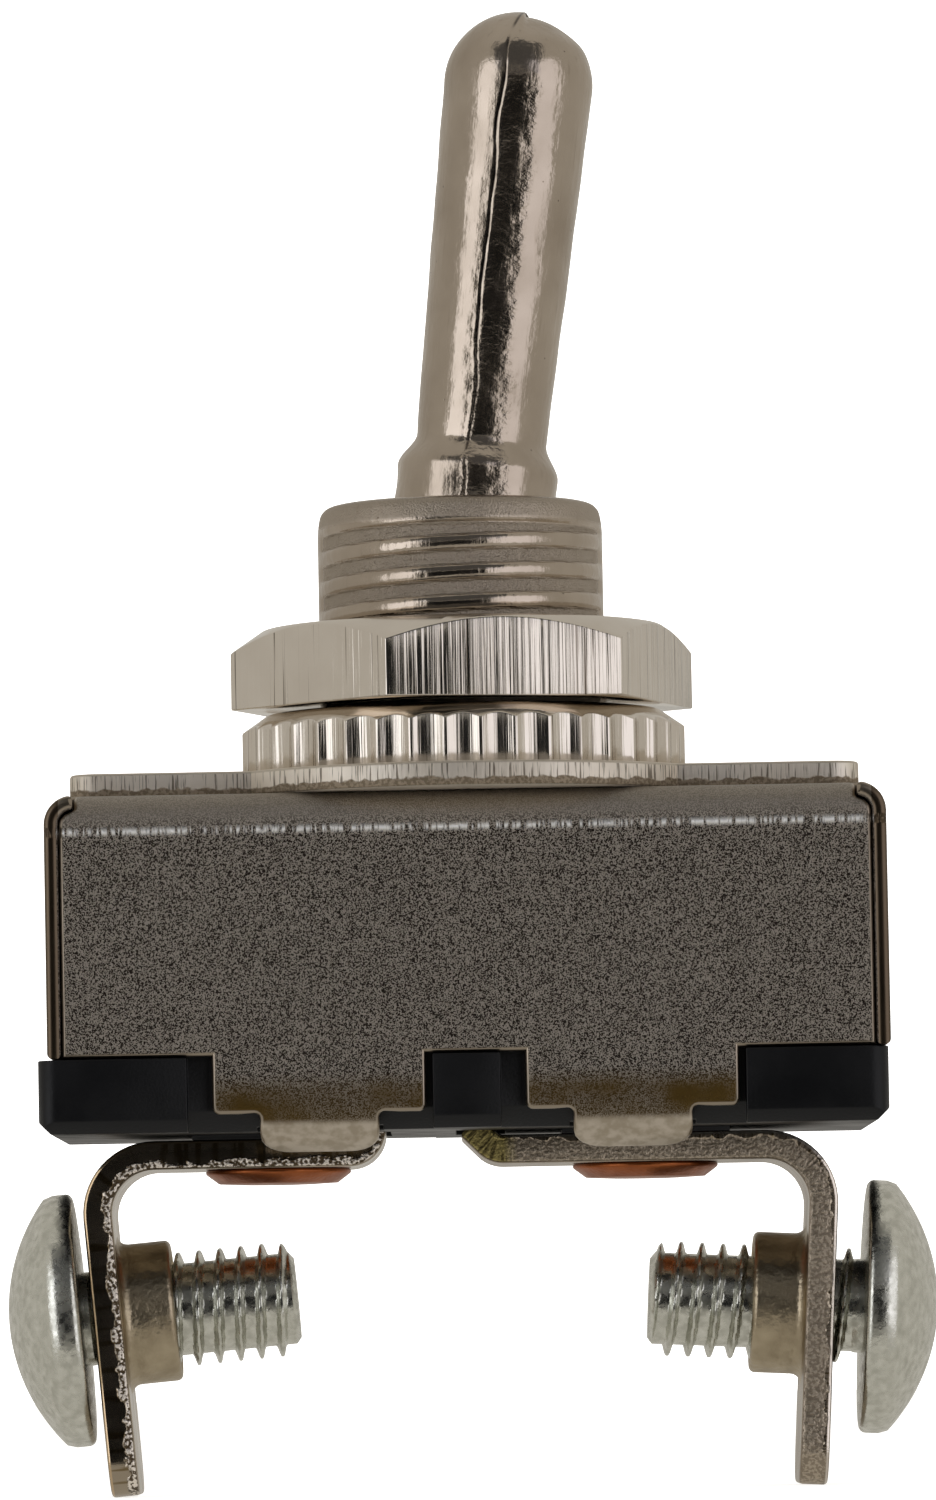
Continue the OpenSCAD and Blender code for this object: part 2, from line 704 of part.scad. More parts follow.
// Screw with its head's underside at the origin and its head towards +X
module terminal_screw() {
    head_r = head_d / 2;
    dome_r = (head_r * head_r + head_dome * head_dome) / (2 * head_dome);
    head_h = head_rim + head_dome;
    screw_r = screw_d / 2;
    rim_angle = asin((dome_r - head_dome) / dome_r);
    difference() {
        rotate([0, 90, 0]) rotate_extrude(convexity = 4) polygon(concat(
            [
                [0, -screw_l],
                [screw_r - screw_chamfer, -screw_l],
                [screw_r, -screw_l + screw_chamfer],
                [screw_r, 0],
                [head_r, 0]
            ],
            arc(0, head_h - dome_r, dome_r, rim_angle, 90)
        ));
        translate([head_h - slot_depth, -slot_w / 2, -head_r - cut])
            cube([slot_depth + cut, slot_w, head_d + 2 * cut]);
    }
}

module screw_left() {
    color("lightsteelblue") screw_frame(-1, left_reach, left_lean)
        translate([left_gap, 0, 0]) terminal_screw();
}

module screw_right() {
    color("lightsteelblue") screw_frame(1, right_reach, right_lean)
        translate([right_gap, 0, 0]) terminal_screw();
}

module plunger() {
    color("ivory") lever_frame() {
        translate([0, 0, -tip_l]) sphere(r = plunger_r);
        translate([0, 0, -tip_l]) cylinder(r = plunger_r, h = tip_l - shank_l + plunger_in);
    }
}

// A round wire swept along a helix, down from z0 to z1
module coil_spring(mean_r, z0, z1, turns) {
    sides = 6;
    per_turn = 14;
    rings = turns * per_turn;
    rise = (z1 + wire_d / 2 - z0 + wire_d / 2) / rings;
    points = [
        for (i = [0:rings], j = [0:sides - 1])
            let (a = i * 360 / per_turn, b = j * 360 / sides)
            let (r = mean_r + wire_d / 2 * cos(b))
            [r * cos(a), r * sin(a), z0 - wire_d / 2 + i * rise + wire_d / 2 * sin(b)]
    ];
    sides_faces = [
        for (i = [0:rings - 1], j = [0:sides - 1])
            let (k = (j + 1) % sides)
            [i * sides + j, i * sides + k, (i + 1) * sides + k, (i + 1) * sides + j]
    ];
    start_face = [[for (j = [0:sides - 1]) sides - 1 - j]];
    end_face = [[for (j = [0:sides - 1]) rings * sides + j]];
    polyhedron(points, concat(start_face, sides_faces, end_face), convexity = 10);
}

module plunger_spring() {
    mean_r = bore_r - set_gap - wire_d / 2;
    color("gray") lever_frame() coil_spring(mean_r, -spring_top, -spring_end, spring_turns);
}

module rocker() {
    half_w = rocker_w / 2;
    straight = rocker_l / 2 - half_w;
    color("peru") rocker_frame() difference() {
        union() {
            translate([-straight, -half_w, rocker_rise]) cube([2 * straight, rocker_w, rocker_t]);
            for (side = [-1, 1]) {
                translate([side * straight, 0, rocker_rise]) cylinder(r = half_w, h = rocker_t);
                translate([0, side * (half_w - ear_t / 2), 0]) {
                    rod_y(0, 0, ear_r, ear_t);
                    translate([-ear_r, -ear_t / 2, 0])
                        cube([2 * ear_r, ear_t, rocker_rise + rocker_t / 2]);
                }
            }
        }
        rod_y(0, 0, rocker_pin_d / 2 + fit, rocker_w + cut);
    }
}

module rocker_pin() {
    color("gray") rod_y(0, rocker_axis_z, rocker_pin_d / 2, strip_w + 2 * pin_over);
}

// A contact button standing on the origin, with a slightly crowned face
module button(h) {
    r = contact_d / 2;
    crown_r = (r * r + crown * crown) / (2 * crown);
    cylinder(r = r, h = h - crown);
    intersection() {
        translate([0, 0, h - crown_r]) sphere(r = crown_r, $fn = 96);
        cylinder(r = r, h = h + cut);
    }
}

module moving_contact() {
    h = contact_z - strip_z - contact_h - closed_gap;
    color("gainsboro") rocker_frame()
        translate([-contact_x, 0, rocker_rise]) mirror([0, 0, 1]) button(h);
}

module fulcrum_bracket() {
    inner_x = -ear_r;
    outer_x = contact_x - post_l / 2 - 2 * closed_gap;
    ear_y = strip_w / 2 - ear_t / 2;
    color("#b08d3c") difference() {
        union() {
            translate([inner_x, -strip_w / 2, floor_z])
                cube([outer_x - inner_x, strip_w, strip_t]);
            for (side = [-1, 1]) translate([0, side * ear_y, 0]) {
                rod_y(0, rocker_axis_z, ear_r, ear_t);
                translate([-ear_r, -ear_t / 2, floor_z])
                    cube([2 * ear_r, ear_t, rocker_axis_z - floor_z]);
            }
        }
        rod_y(0, rocker_axis_z, rocker_pin_d / 2, strip_w + cut);
        translate([right_rivet_x, 0, floor_z - cut])
            cylinder(d = rivet_d + 2 * set_gap, h = strip_t + 2 * cut);
    }
}

module fixed_contact_strip() {
    outer_x = contact_x + contact_d / 2 + strip_edge;
    inner_x = left_rivet_x - strip_over;
    color("#b08d3c") difference() {
        translate([-outer_x, -strip_w / 2, floor_z])
            cube([outer_x - inner_x, strip_w, strip_t]);
        translate([-left_rivet_x, 0, floor_z - cut])
            cylinder(d = rivet_d + 2 * set_gap, h = strip_t + 2 * cut);
    }
}

module fixed_contact() {
    color("gainsboro") translate([-contact_x, 0, strip_z]) button(contact_h);
}

// Rivet with its rolled head below the terminal and its set flange on the inner strip
module rivet(x) {
    bottom = pad_z - term_t;
    head_r = rivet_head_d / 2;
    head_ball = (head_r * head_r + rivet_head_h * rivet_head_h) / (2 * rivet_head_h);
    color("#b5613a") translate([x, 0, 0]) {
        translate([0, 0, bottom]) cylinder(d = rivet_d, h = strip_z - bottom);
        translate([0, 0, strip_z]) cylinder(r = rivet_d / 2 + rivet_set, h = rivet_set);
        intersection() {
            translate([0, 0, bottom - rivet_head_h + head_ball])
                sphere(r = head_ball, $fn = 96);
            translate([0, 0, bottom - rivet_head_h - cut])
                cylinder(r = head_r, h = rivet_head_h + cut);
        }
    }
}

module rivet_left() {
    rivet(-left_rivet_x);
}

module rivet_right() {
    rivet(right_rivet_x);
}

locating_plate();
stem_bushing();
lever();
pivot_pin();
hex_nut();
ring_nut();
can();
insulating_liner();
base();
plunger();
plunger_spring();
rocker();
rocker_pin();
moving_contact();
fulcrum_bracket();
fixed_contact_strip();
fixed_contact();
rivet_left();
rivet_right();
terminal_left();
terminal_right();
screw_left();
screw_right();
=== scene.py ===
"""Looks of a panel toggle switch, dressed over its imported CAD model.

Each class is one sub-assembly. It holds its sizes in millimetres, takes its places from the
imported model, and builds and dresses its own meshes. Objects are in metres.
"""
import json
import logging
import math
from collections.abc import Callable, Sequence
from dataclasses import dataclass, field
from enum import Enum

import bmesh
import bpy
from mathutils import Matrix, Vector, noise


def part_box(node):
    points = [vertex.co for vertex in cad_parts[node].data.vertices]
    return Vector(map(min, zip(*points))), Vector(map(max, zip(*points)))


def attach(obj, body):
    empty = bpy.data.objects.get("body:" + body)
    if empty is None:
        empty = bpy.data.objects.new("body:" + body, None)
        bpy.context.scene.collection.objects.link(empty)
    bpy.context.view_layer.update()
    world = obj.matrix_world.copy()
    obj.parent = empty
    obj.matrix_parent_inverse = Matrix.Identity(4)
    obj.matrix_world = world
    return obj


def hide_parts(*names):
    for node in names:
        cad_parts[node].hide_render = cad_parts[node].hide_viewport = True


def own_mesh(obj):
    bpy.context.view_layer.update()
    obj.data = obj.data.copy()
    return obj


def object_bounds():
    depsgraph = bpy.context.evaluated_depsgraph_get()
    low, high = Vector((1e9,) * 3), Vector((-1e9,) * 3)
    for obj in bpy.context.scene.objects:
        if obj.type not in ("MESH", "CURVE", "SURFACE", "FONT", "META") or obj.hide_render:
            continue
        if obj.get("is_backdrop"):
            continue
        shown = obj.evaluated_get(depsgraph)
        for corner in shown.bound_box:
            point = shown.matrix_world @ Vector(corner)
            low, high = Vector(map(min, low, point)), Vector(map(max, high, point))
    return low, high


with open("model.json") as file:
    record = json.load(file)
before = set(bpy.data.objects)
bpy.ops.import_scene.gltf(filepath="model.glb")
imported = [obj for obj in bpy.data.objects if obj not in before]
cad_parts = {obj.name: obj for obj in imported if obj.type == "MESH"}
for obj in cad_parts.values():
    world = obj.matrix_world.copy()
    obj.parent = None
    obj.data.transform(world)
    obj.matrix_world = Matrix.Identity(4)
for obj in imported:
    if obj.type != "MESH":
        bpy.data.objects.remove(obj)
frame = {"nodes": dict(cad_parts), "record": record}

log = logging.getLogger("toggle_switch")

MM = 0.001
TURN = 2 * math.pi
EDGE_STEPS = 3  # chords across a sheet's eased edge
HOLE_STEPS = 48  # chords round a hole

Ring = list[Vector]
Socket = bpy.types.NodeSocket


class Body(str, Enum):
    """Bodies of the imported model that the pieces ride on."""

    FRAME = "frame"
    LEVER = "lever"
    HEX_NUT = "hex_nut"
    RING_NUT = "ring_nut"
    SCREW_LEFT = "screw_left"
    SCREW_RIGHT = "screw_right"


class Side(float, Enum):
    """Which end of the switch a piece is on, as the sign of its X."""

    LEFT = -1.0
    RIGHT = 1.0


# ---------------------------------------------------------------- measures and shapes


def low_high(node: str) -> tuple[Vector, Vector]:
    """Lowest and highest corner of a CAD node, in millimetres."""
    low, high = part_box(node)
    return low / MM, high / MM


def mount_place(name: str) -> Vector:
    """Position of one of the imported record's mounts, in millimetres."""
    return Vector(next(m["pos_m"] for m in frame["record"]["mounts"] if m["name"] == name)) / MM


def smooth(x: float) -> float:
    """Smooth step of x from 0 to 1."""
    x = min(max(x, 0.0), 1.0)
    return x * x * (3 - 2 * x)


def ramp(x: float, start: float, end: float) -> float:
    """Smooth step of x that is 0 at start and 1 at end."""
    return smooth((x - start) / (end - start))


def arc(cx: float, cy: float, r: float, a0: float, a1: float,
        steps: int = 8) -> list[tuple[float, float]]:
    """Points of an arc in a plane.

    Args:
        cx, cy: Centre.
        r: Radius.
        a0, a1: First and last angle, in degrees.
        steps: Number of chords.

    Returns:
        steps + 1 points, from a0 to a1.
    """
    angles = [math.radians(a0 + (a1 - a0) * i / steps) for i in range(steps + 1)]
    return [(cx + r * math.cos(a), cy + r * math.sin(a)) for a in angles]


def evenly(a: float, b: float, step: float) -> list[float]:
    """Values from a to b, about step apart, without b."""
    count = max(1, round(abs(b - a) / step))
    return [a + (b - a) * i / count for i in range(count)]


def turned(outline: Sequence[tuple[float, float]], steps: int, x: float = 0.0, y: float = 0.0) -> list[Ring]:
    """Turns a half outline about an upright axis.

    Args:
        outline: Points of the half outline, as radius and height.
        steps: Points in each ring.
        x, y: Where the axis stands.

    Returns:
        One ring for each point.
    """
    angles = [TURN * i / steps for i in range(steps)]
    return [[Vector((x + r * math.cos(a), y + r * math.sin(a), z)) for a in angles] for r, z in outline]


def finish_object(name: str, mesh: bpy.types.Mesh, sharp_deg: float) -> bpy.types.Object:
    """Links a mesh as an object, shaded smooth up to sharp_deg.

    Args:
        name: Name of the piece.
        mesh: Its mesh, in metres.
        sharp_deg: Angle between faces above which an edge stays sharp.

    Returns:
        The object, in the scene's collection.
    """
    mesh.shade_smooth()
    mesh.set_sharp_from_angle(angle=math.radians(sharp_deg))
    obj = bpy.data.objects.new(name, mesh)
    bpy.context.scene.collection.objects.link(obj)
    return obj


def skin(name: str, rings: Sequence[Ring], closed: bool, sharp_deg: float = 35.0) -> bpy.types.Object:
    """Builds a surface through rings of points.

    Args:
        name: Name of the piece.
        rings: Rings of equally many points, in millimetres, in order along the surface.
        closed: Whether the last ring joins the first. An open skin is capped at both ends.
        sharp_deg: Angle above which an edge stays sharp.

    Returns:
        The new object.
    """
    bm = bmesh.new()
    rows = [[bm.verts.new(p * MM) for p in ring] for ring in rings]
    count = len(rows[0])
    pairs = list(zip(rows, rows[1:])) + ([(rows[-1], rows[0])] if closed else [])
    for low, high in pairs:
        for i in range(count):
            j = (i + 1) % count
            bm.faces.new((low[i], low[j], high[j], high[i]))
    if not closed:
        bm.faces.new(reversed(rows[0]))
        bm.faces.new(rows[-1])
    bmesh.ops.recalc_face_normals(bm, faces=bm.faces)
    mesh = bpy.data.meshes.new(name)
    bm.to_mesh(mesh)
    bm.free()
    return finish_object(name, mesh, sharp_deg)


def mark(obj: bpy.types.Object, name: str, value: Callable[[Vector], float]) -> None:
    """Stores a value on each point of a mesh, for a finish to read.

    Args:
        obj: The mesh object.
        name: Name of the attribute.
        value: Its value at a point, which is given in millimetres.
    """
    attribute = obj.data.attributes.new(name, "FLOAT", "POINT")
    for vertex, item in zip(obj.data.vertices, attribute.data):
        item.value = value(vertex.co / MM)


def blank(name: str, outline: Sequence[tuple[float, float]], holes: Sequence[tuple[float, float, float]],
          thickness: float, edge: float) -> bmesh.types.BMesh:
    """Makes a flat sheet-metal blank with eased edges.

    Args:
        name: Name for the working data.
        outline: Outline of the blank.
        holes: Round holes, as centre and radius.
        thickness: Thickness of the sheet, which lies about z = 0.
        edge: Radius along its edges, smaller than any convex corner of the outline.

    Returns:
        The blank as a bmesh, in millimetres.
    """
    curve = bpy.data.curves.new(name, "CURVE")
    curve.dimensions = "2D"
    curve.fill_mode = "BOTH"
    curve.extrude = thickness / 2 - edge
    curve.bevel_depth = edge
    curve.bevel_resolution = EDGE_STEPS
    curve.offset = -edge
    rings = [outline] + [arc(x, y, r, 360, 0, HOLE_STEPS)[:-1] for x, y, r in holes]
    for ring in rings:
        spline = curve.splines.new("POLY")
        spline.points.add(len(ring) - 1)
        spline.use_cyclic_u = True
        for point, (x, y) in zip(spline.points, ring):
            point.co = (x, y, 0, 1)
    holder = bpy.data.objects.new(name, curve)
    bpy.context.scene.collection.objects.link(holder)
    graph = bpy.context.evaluated_depsgraph_get()
    mesh = bpy.data.meshes.new_from_object(holder.evaluated_get(graph))
    bm = bmesh.new()
    bm.from_mesh(mesh)
    bpy.data.objects.remove(holder)
    bpy.data.curves.remove(curve)
    bpy.data.meshes.remove(mesh)
    bmesh.ops.remove_doubles(bm, verts=bm.verts, dist=edge / 50)
    return bm


def slice_blank(bm: bmesh.types.BMesh, along: Vector, places: Sequence[float]) -> None:
    """Cuts a blank across, so that it can bend there.

    Args:
        bm: The blank.
        along: Direction that the places are measured in.
        places: Where to cut.
    """
    for distance in places:
        geometry = bm.verts[:] + bm.edges[:] + bm.faces[:]
        bmesh.ops.bisect_plane(bm, geom=geometry, plane_co=along * distance, plane_no=along, dist=1e-5)


def folded(name: str, bm: bmesh.types.BMesh, fold: Callable[[Vector], Vector], thickness: float,
           sharp_deg: float = 35.0) -> bpy.types.Object:
    """Folds a blank into its final shape.

    Args:
        name: Name of the piece.
        bm: The flat blank, in millimetres. It is used up.
        fold: Place in the folded piece of a point of the blank.
        thickness: Thickness of the sheet.
        sharp_deg: Angle above which an edge stays sharp.

    Returns:
        The object. Its attribute "cut" runs from 0 on the blank's top to 1 on its underside, and
        "run" is the distance along the blank, in metres.
    """
    depths = [0.5 - v.co.z / thickness for v in bm.verts]
    runs = [v.co.x * MM for v in bm.verts]
    for vertex in bm.verts:
        vertex.co = fold(vertex.co.copy()) * MM
    bmesh.ops.recalc_face_normals(bm, faces=bm.faces)
    mesh = bpy.data.meshes.new(name)
    bm.to_mesh(mesh)
    bm.free()
    for key, values in (("cut", depths), ("run", runs)):
        mesh.attributes.new(key, "FLOAT", "POINT").data.foreach_set("value", values)
    return finish_object(name, mesh, sharp_deg)


def drill(obj: bpy.types.Object, cutter: bpy.types.Object) -> None:
    """Cuts one mesh out of another and deletes the cutter.

    Args:
        obj: The piece.
        cutter: What is cut out of it.
    """
    modifier = obj.modifiers.new("drill", "BOOLEAN")
    modifier.object = cutter
    modifier.operation = "DIFFERENCE"
    modifier.solver = "EXACT"
    bpy.context.view_layer.update()
    graph = bpy.context.evaluated_depsgraph_get()
    mesh = bpy.data.meshes.new_from_object(obj.evaluated_get(graph))
    obj.modifiers.clear()
    obj.data = mesh
    bpy.data.objects.remove(cutter)


def place(piece: bpy.types.Object, finish: "Finish", body: Body, slot: str, *nodes: str) -> None:
    """Dresses a piece, makes it ride, and lets it stand for its CAD nodes.

    Args:
        piece: The piece.
        finish: What it is made of.
        body: The body that it moves with.
        slot: Material slot of the record. Not used.
        *nodes: CAD nodes that it stands for.
    """
    piece.data.materials.clear()
    piece.data.materials.append(finish.material())
    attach(piece, body.value)
    if nodes:
        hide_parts(*nodes)
    log.info("built %s", piece.name)


# ---------------------------------------------------------------- finishes


def linear(code: str) -> tuple[float, float, float, float]:
    """Linear colour of an sRGB hex code.

    Args:
        code: The colour, as #rrggbb.

    Returns:
        Red, green, blue and an alpha of 1.
    """
    parts = [int(code[i:i + 2], 16) / 255 for i in (1, 3, 5)]
    parts = [c / 12.92 if c <= 0.04045 else ((c + 0.055) / 1.055) ** 2.4 for c in parts]
    return (*parts, 1.0)


SMOOTH = {"interpolation_type": "SMOOTHSTEP"}
BLEND = {"data_type": "RGBA", "clamp_factor": True}
PRODUCT = {"operation": "MULTIPLY"}
SUM = {"operation": "ADD"}


def per_metre(size_mm: float) -> float:
    """Texture scale that gives features of size_mm."""
    return 1 / (size_mm * MM)


def add(tree: bpy.types.NodeTree, kind: str, settings: dict | None = None,
        links: dict | None = None) -> bpy.types.Node:
    """Adds one node.

    Args:
        tree: The node tree.
        kind: Type of the node.
        settings: Values by input, or by property where no input has that name.
        links: Output sockets by input.

    Returns:
        The new node.
    """
    node = tree.nodes.new(kind)
    for key, value in (settings or {}).items():
        if isinstance(key, int) or key in node.inputs:
            node.inputs[key].default_value = value
        else:
            setattr(node, key, value)
    for key, socket in (links or {}).items():
        tree.links.new(socket, node.inputs[key])
    return node


@dataclass(frozen=True)
class Finish:
    """A material with a cloudy tone, a fine grain and nothing else."""

    name: str
    colour: str
    shade: str
    roughness: float
    metallic: float = 1.0
    spread: float = 0.1
    cloud_mm: float = 2.5
    grain_mm: float = 0.25
    relief_mm: float = 0.003
    shine: float = 0.5

    def material(self) -> bpy.types.Material:
        """The finish's material, made once.

        Returns:
            The material that carries the finish's name.
        """
        found = bpy.data.materials.get(self.name)
        if found:
            return found
        material = bpy.data.materials.new(self.name)
        material.use_nodes = True
        tree = material.node_tree
        tree.nodes.clear()
        shader = add(tree, "ShaderNodeBsdfPrincipled",
                     {"Metallic": self.metallic, "Specular IOR Level": self.shine})
        add(tree, "ShaderNodeOutputMaterial", links={"Surface": shader.outputs["BSDF"]})
        self.dress(tree, shader)
        return material

    def dress(self, tree: bpy.types.NodeTree, shader: bpy.types.Node) -> None:
        """Links the finish's colour, roughness and relief to its shader.

        Args:
            tree: The material's nodes.
            shader: Its shader.
        """
        where = self.where(tree)
        cloud = add(tree, "ShaderNodeTexNoise",
                    {"Scale": per_metre(self.cloud_mm), "Detail": 3},
                    {"Vector": where}).outputs["Fac"]
        grain = add(tree, "ShaderNodeTexNoise",
                    {"Scale": per_metre(self.grain_mm), "Detail": 4},
                    {"Vector": where}).outputs["Fac"]
        tone = add(tree, "ShaderNodeMix",
                   BLEND | {6: linear(self.colour), 7: linear(self.shade)},
                   {0: cloud}).outputs[2]
        self.colour_by(tree, shader, tone)
        self.roughness_by(tree, shader, cloud)
        self.relief_by(tree, shader, [(grain, self.relief_mm)])

    @staticmethod
    def where(tree: bpy.types.NodeTree, stretch: tuple[float, float, float] = (1, 1, 1)) -> Socket:
        """Place in the piece, squeezed by stretch along each axis."""
        coords = add(tree, "ShaderNodeTexCoord")
        return add(tree, "ShaderNodeMapping", {"Scale": stretch},
                   {"Vector": coords.outputs["Object"]}).outputs["Vector"]

    @staticmethod
    def axis(tree: bpy.types.NodeTree, name: str) -> Socket:
        """Place in the piece along one axis, in metres."""
        coords = add(tree, "ShaderNodeTexCoord")
        return add(tree, "ShaderNodeSeparateXYZ", links={0: coords.outputs["Object"]}).outputs[name]

    @staticmethod
    def level(tree: bpy.types.NodeTree) -> Socket:
        """How level the face lies, from 0 on a wall to 1 on a top.

        Args:
            tree: The material's nodes.

        Returns:
            Socket with the value.
        """
        normal = add(tree, "ShaderNodeNewGeometry").outputs["True Normal"]
        rise = add(tree, "ShaderNodeSeparateXYZ", links={0: normal}).outputs["Z"]
        return add(tree, "ShaderNodeMath", {"operation": "ABSOLUTE"}, {0: rise}).outputs[0]

    @staticmethod
    def colour_by(tree: bpy.types.NodeTree, shader: bpy.types.Node, colour: Socket) -> None:
        """Links the shader's colour."""
        tree.links.new(colour, shader.inputs["Base Color"])

    def roughness_by(self, tree: bpy.types.NodeTree, shader: bpy.types.Node, value: Socket,
                     low: float = 0.3, high: float = 0.7) -> None:
        """Links roughness to a value, spread about the finish's own.

        Args:
            tree: The material's nodes.
            shader: Its shader.
            value: Socket that roughness follows.
            low, high: The value's usual range.
        """
        spread = add(tree, "ShaderNodeMapRange",
                     SMOOTH | {"From Min": low, "From Max": high,
                               "To Min": self.roughness - self.spread / 2,
                               "To Max": self.roughness + self.spread / 2},
                     {"Value": value}).outputs["Result"]
        tree.links.new(spread, shader.inputs["Roughness"])

    @staticmethod
    def relief_by(tree: bpy.types.NodeTree, shader: bpy.types.Node,
                  layers: Sequence[tuple[Socket, float]]) -> None:
        """Links layers of relief, each a height from 0 to 1 and its depth in millimetres.

        Args:
            tree: The material's nodes.
            shader: Its shader.
            layers: Height from 0 to 1, and depth in millimetres, of each layer.
        """
        normal = None
        for height, depth in layers:
            bump = add(tree, "ShaderNodeBump", {"Strength": 1.0, "Distance": depth * MM}, {"Height": height})
            if normal:
                tree.links.new(normal, bump.inputs["Normal"])
            normal = bump.outputs["Normal"]
        tree.links.new(normal, shader.inputs["Normal"])


@dataclass(frozen=True)
class BackLit(Finish):
    """Opal acrylic lit from behind."""

    glow: float = 1.0
    light: str = "#ffffff"

    def dress(self, tree: bpy.types.NodeTree, shader: bpy.types.Node) -> None:
        """Adds an even glow to the plain finish.

        Args:
            tree: The material's nodes.
            shader: Its shader.
        """
        super().dress(tree, shader)
        shader.inputs["Emission Color"].default_value = linear(self.light)
        shader.inputs["Emission Strength"].default_value = self.glow


@dataclass(frozen=True)
class CastNickel(Finish):
    """Bright nickel over a zinc casting: mirror-like but wavy, pitted, and matt in its hollows.

    The mesh's attribute "matt" is 1 where the plating is dull, as in a thread's grooves, and
    "torn" and "crack" are 1 where the parting line has left torn metal and where it gapes. Where
    it gapes, the colour is darkened as painted shade.
    """

    matt_colour: str = "#a89d8f"
    matt_roughness: float = 0.32
    pit_mm: float = 1.05
    wave_mm: float = 1.6
    tear_mm: float = 0.22
    sand_mm: float = 0.09
    streak_mm: float = 0.35
    # painted shade laid into the parting line where it gapes
    crack_shade_colour: str = "#2a211b"
    pit_colour: str = "#5a4a3a"
    pit_depth_mm: float = 0.01
    tear_depth_mm: float = 0.06
    matt_depth_mm: float = 0.09

    def dress(self, tree: bpy.types.NodeTree, shader: bpy.types.Node) -> None:
        """Links clouds, pits, matt hollows and torn metal.

        Args:
            tree: The material's nodes.
            shader: Its shader.
        """
        where = self.where(tree)
        matt = add(tree, "ShaderNodeAttribute", {"attribute_name": "matt"}).outputs["Fac"]
        torn = add(tree, "ShaderNodeAttribute", {"attribute_name": "torn"}).outputs["Fac"]
        crack = add(tree, "ShaderNodeAttribute", {"attribute_name": "crack"}).outputs["Fac"]
        streak = add(tree, "ShaderNodeTexNoise",
                     {"Scale": per_metre(self.streak_mm), "Detail": 3},
                     {"Vector": self.where(tree, (1, 1, 0.12))}).outputs["Fac"]
        cloud = add(tree, "ShaderNodeTexNoise",
                    {"Scale": per_metre(self.cloud_mm), "Detail": 3},
                    {"Vector": where}).outputs["Fac"]
        wave = add(tree, "ShaderNodeTexNoise",
                   {"Scale": per_metre(self.wave_mm), "Detail": 2},
                   {"Vector": where}).outputs["Fac"]
        grain = add(tree, "ShaderNodeTexNoise",
                    {"Scale": per_metre(self.grain_mm), "Detail": 5},
                    {"Vector": where}).outputs["Fac"]
        tear = add(tree, "ShaderNodeTexNoise",
                   {"Scale": per_metre(self.tear_mm), "Detail": 4},
                   {"Vector": self.where(tree, (1, 1, 1.6))}).outputs["Fac"]
        cells = add(tree, "ShaderNodeTexVoronoi", {"Scale": per_metre(self.pit_mm)}, {"Vector": where})
        spot = add(tree, "ShaderNodeMapRange",
                   SMOOTH | {"From Min": 0.015, "From Max": 0.055, "To Min": 1.0, "To Max": 0.0},
                   {"Value": cells.outputs["Distance"]}).outputs["Result"]
        clouded = add(tree, "ShaderNodeMapRange",
                      SMOOTH | {"From Min": 0.38, "From Max": 0.46},
                      {"Value": cloud}).outputs["Result"]
        pit = add(tree, "ShaderNodeMath", PRODUCT, {0: spot, 1: clouded}).outputs[0]
        tone = add(tree, "ShaderNodeMix",
                   BLEND | {6: linear(self.colour), 7: linear(self.shade)},
                   {0: cloud}).outputs[2]
        dull = add(tree, "ShaderNodeMix",
                   BLEND | {7: linear(self.matt_colour)},
                   {0: matt, 6: tone}).outputs[2]
        streaks = add(tree, "ShaderNodeMapRange",
                      SMOOTH | {"From Min": 0.6, "From Max": 0.8, "To Max": 0.5},
                      {"Value": streak}).outputs["Result"]
        streaked = add(tree, "ShaderNodeMix",
                       BLEND | {7: linear(self.shade)},
                       {0: streaks, 6: dull}).outputs[2]
        pitted = add(tree, "ShaderNodeMix",
                     BLEND | {7: linear(self.pit_colour)},
                     {0: pit, 6: streaked}).outputs[2]
        # Painted shade in the parting line's crack
        crack_shaded = add(tree, "ShaderNodeMix",
                      BLEND | {7: linear(self.crack_shade_colour)},
                      {0: crack, 6: pitted}).outputs[2]
        self.colour_by(tree, shader, crack_shaded)
        base = add(tree, "ShaderNodeMapRange",
                   SMOOTH | {"From Min": 0.3, "From Max": 0.7, "To Min": self.roughness,
                             "To Max": self.roughness + self.spread},
                   {"Value": cloud}).outputs["Result"]
        matting = add(tree, "ShaderNodeMapRange",
                      SMOOTH | {"From Min": 0, "From Max": 1, "To Max": self.matt_roughness},
                      {"Value": matt}).outputs["Result"]
        dulled = add(tree, "ShaderNodeMath", SUM, {0: base, 1: matting}).outputs[0]
        tree.links.new(dulled, shader.inputs["Roughness"])
        rough_tear = add(tree, "ShaderNodeMath", PRODUCT, {0: tear, 1: torn}).outputs[0]
        sand = add(tree, "ShaderNodeTexNoise",
                   {"Scale": per_metre(self.sand_mm), "Detail": 3},
                   {"Vector": where}).outputs["Fac"]
        rough_matt = add(tree, "ShaderNodeMath", PRODUCT, {0: sand, 1: matt}).outputs[0]
        self.relief_by(tree, shader, [
            (wave, self.relief_mm * 6), (streak, self.relief_mm * 1.5), (grain, self.relief_mm),
            (pit, -self.pit_depth_mm), (rough_tear, self.tear_depth_mm), (rough_matt, self.matt_depth_mm)])


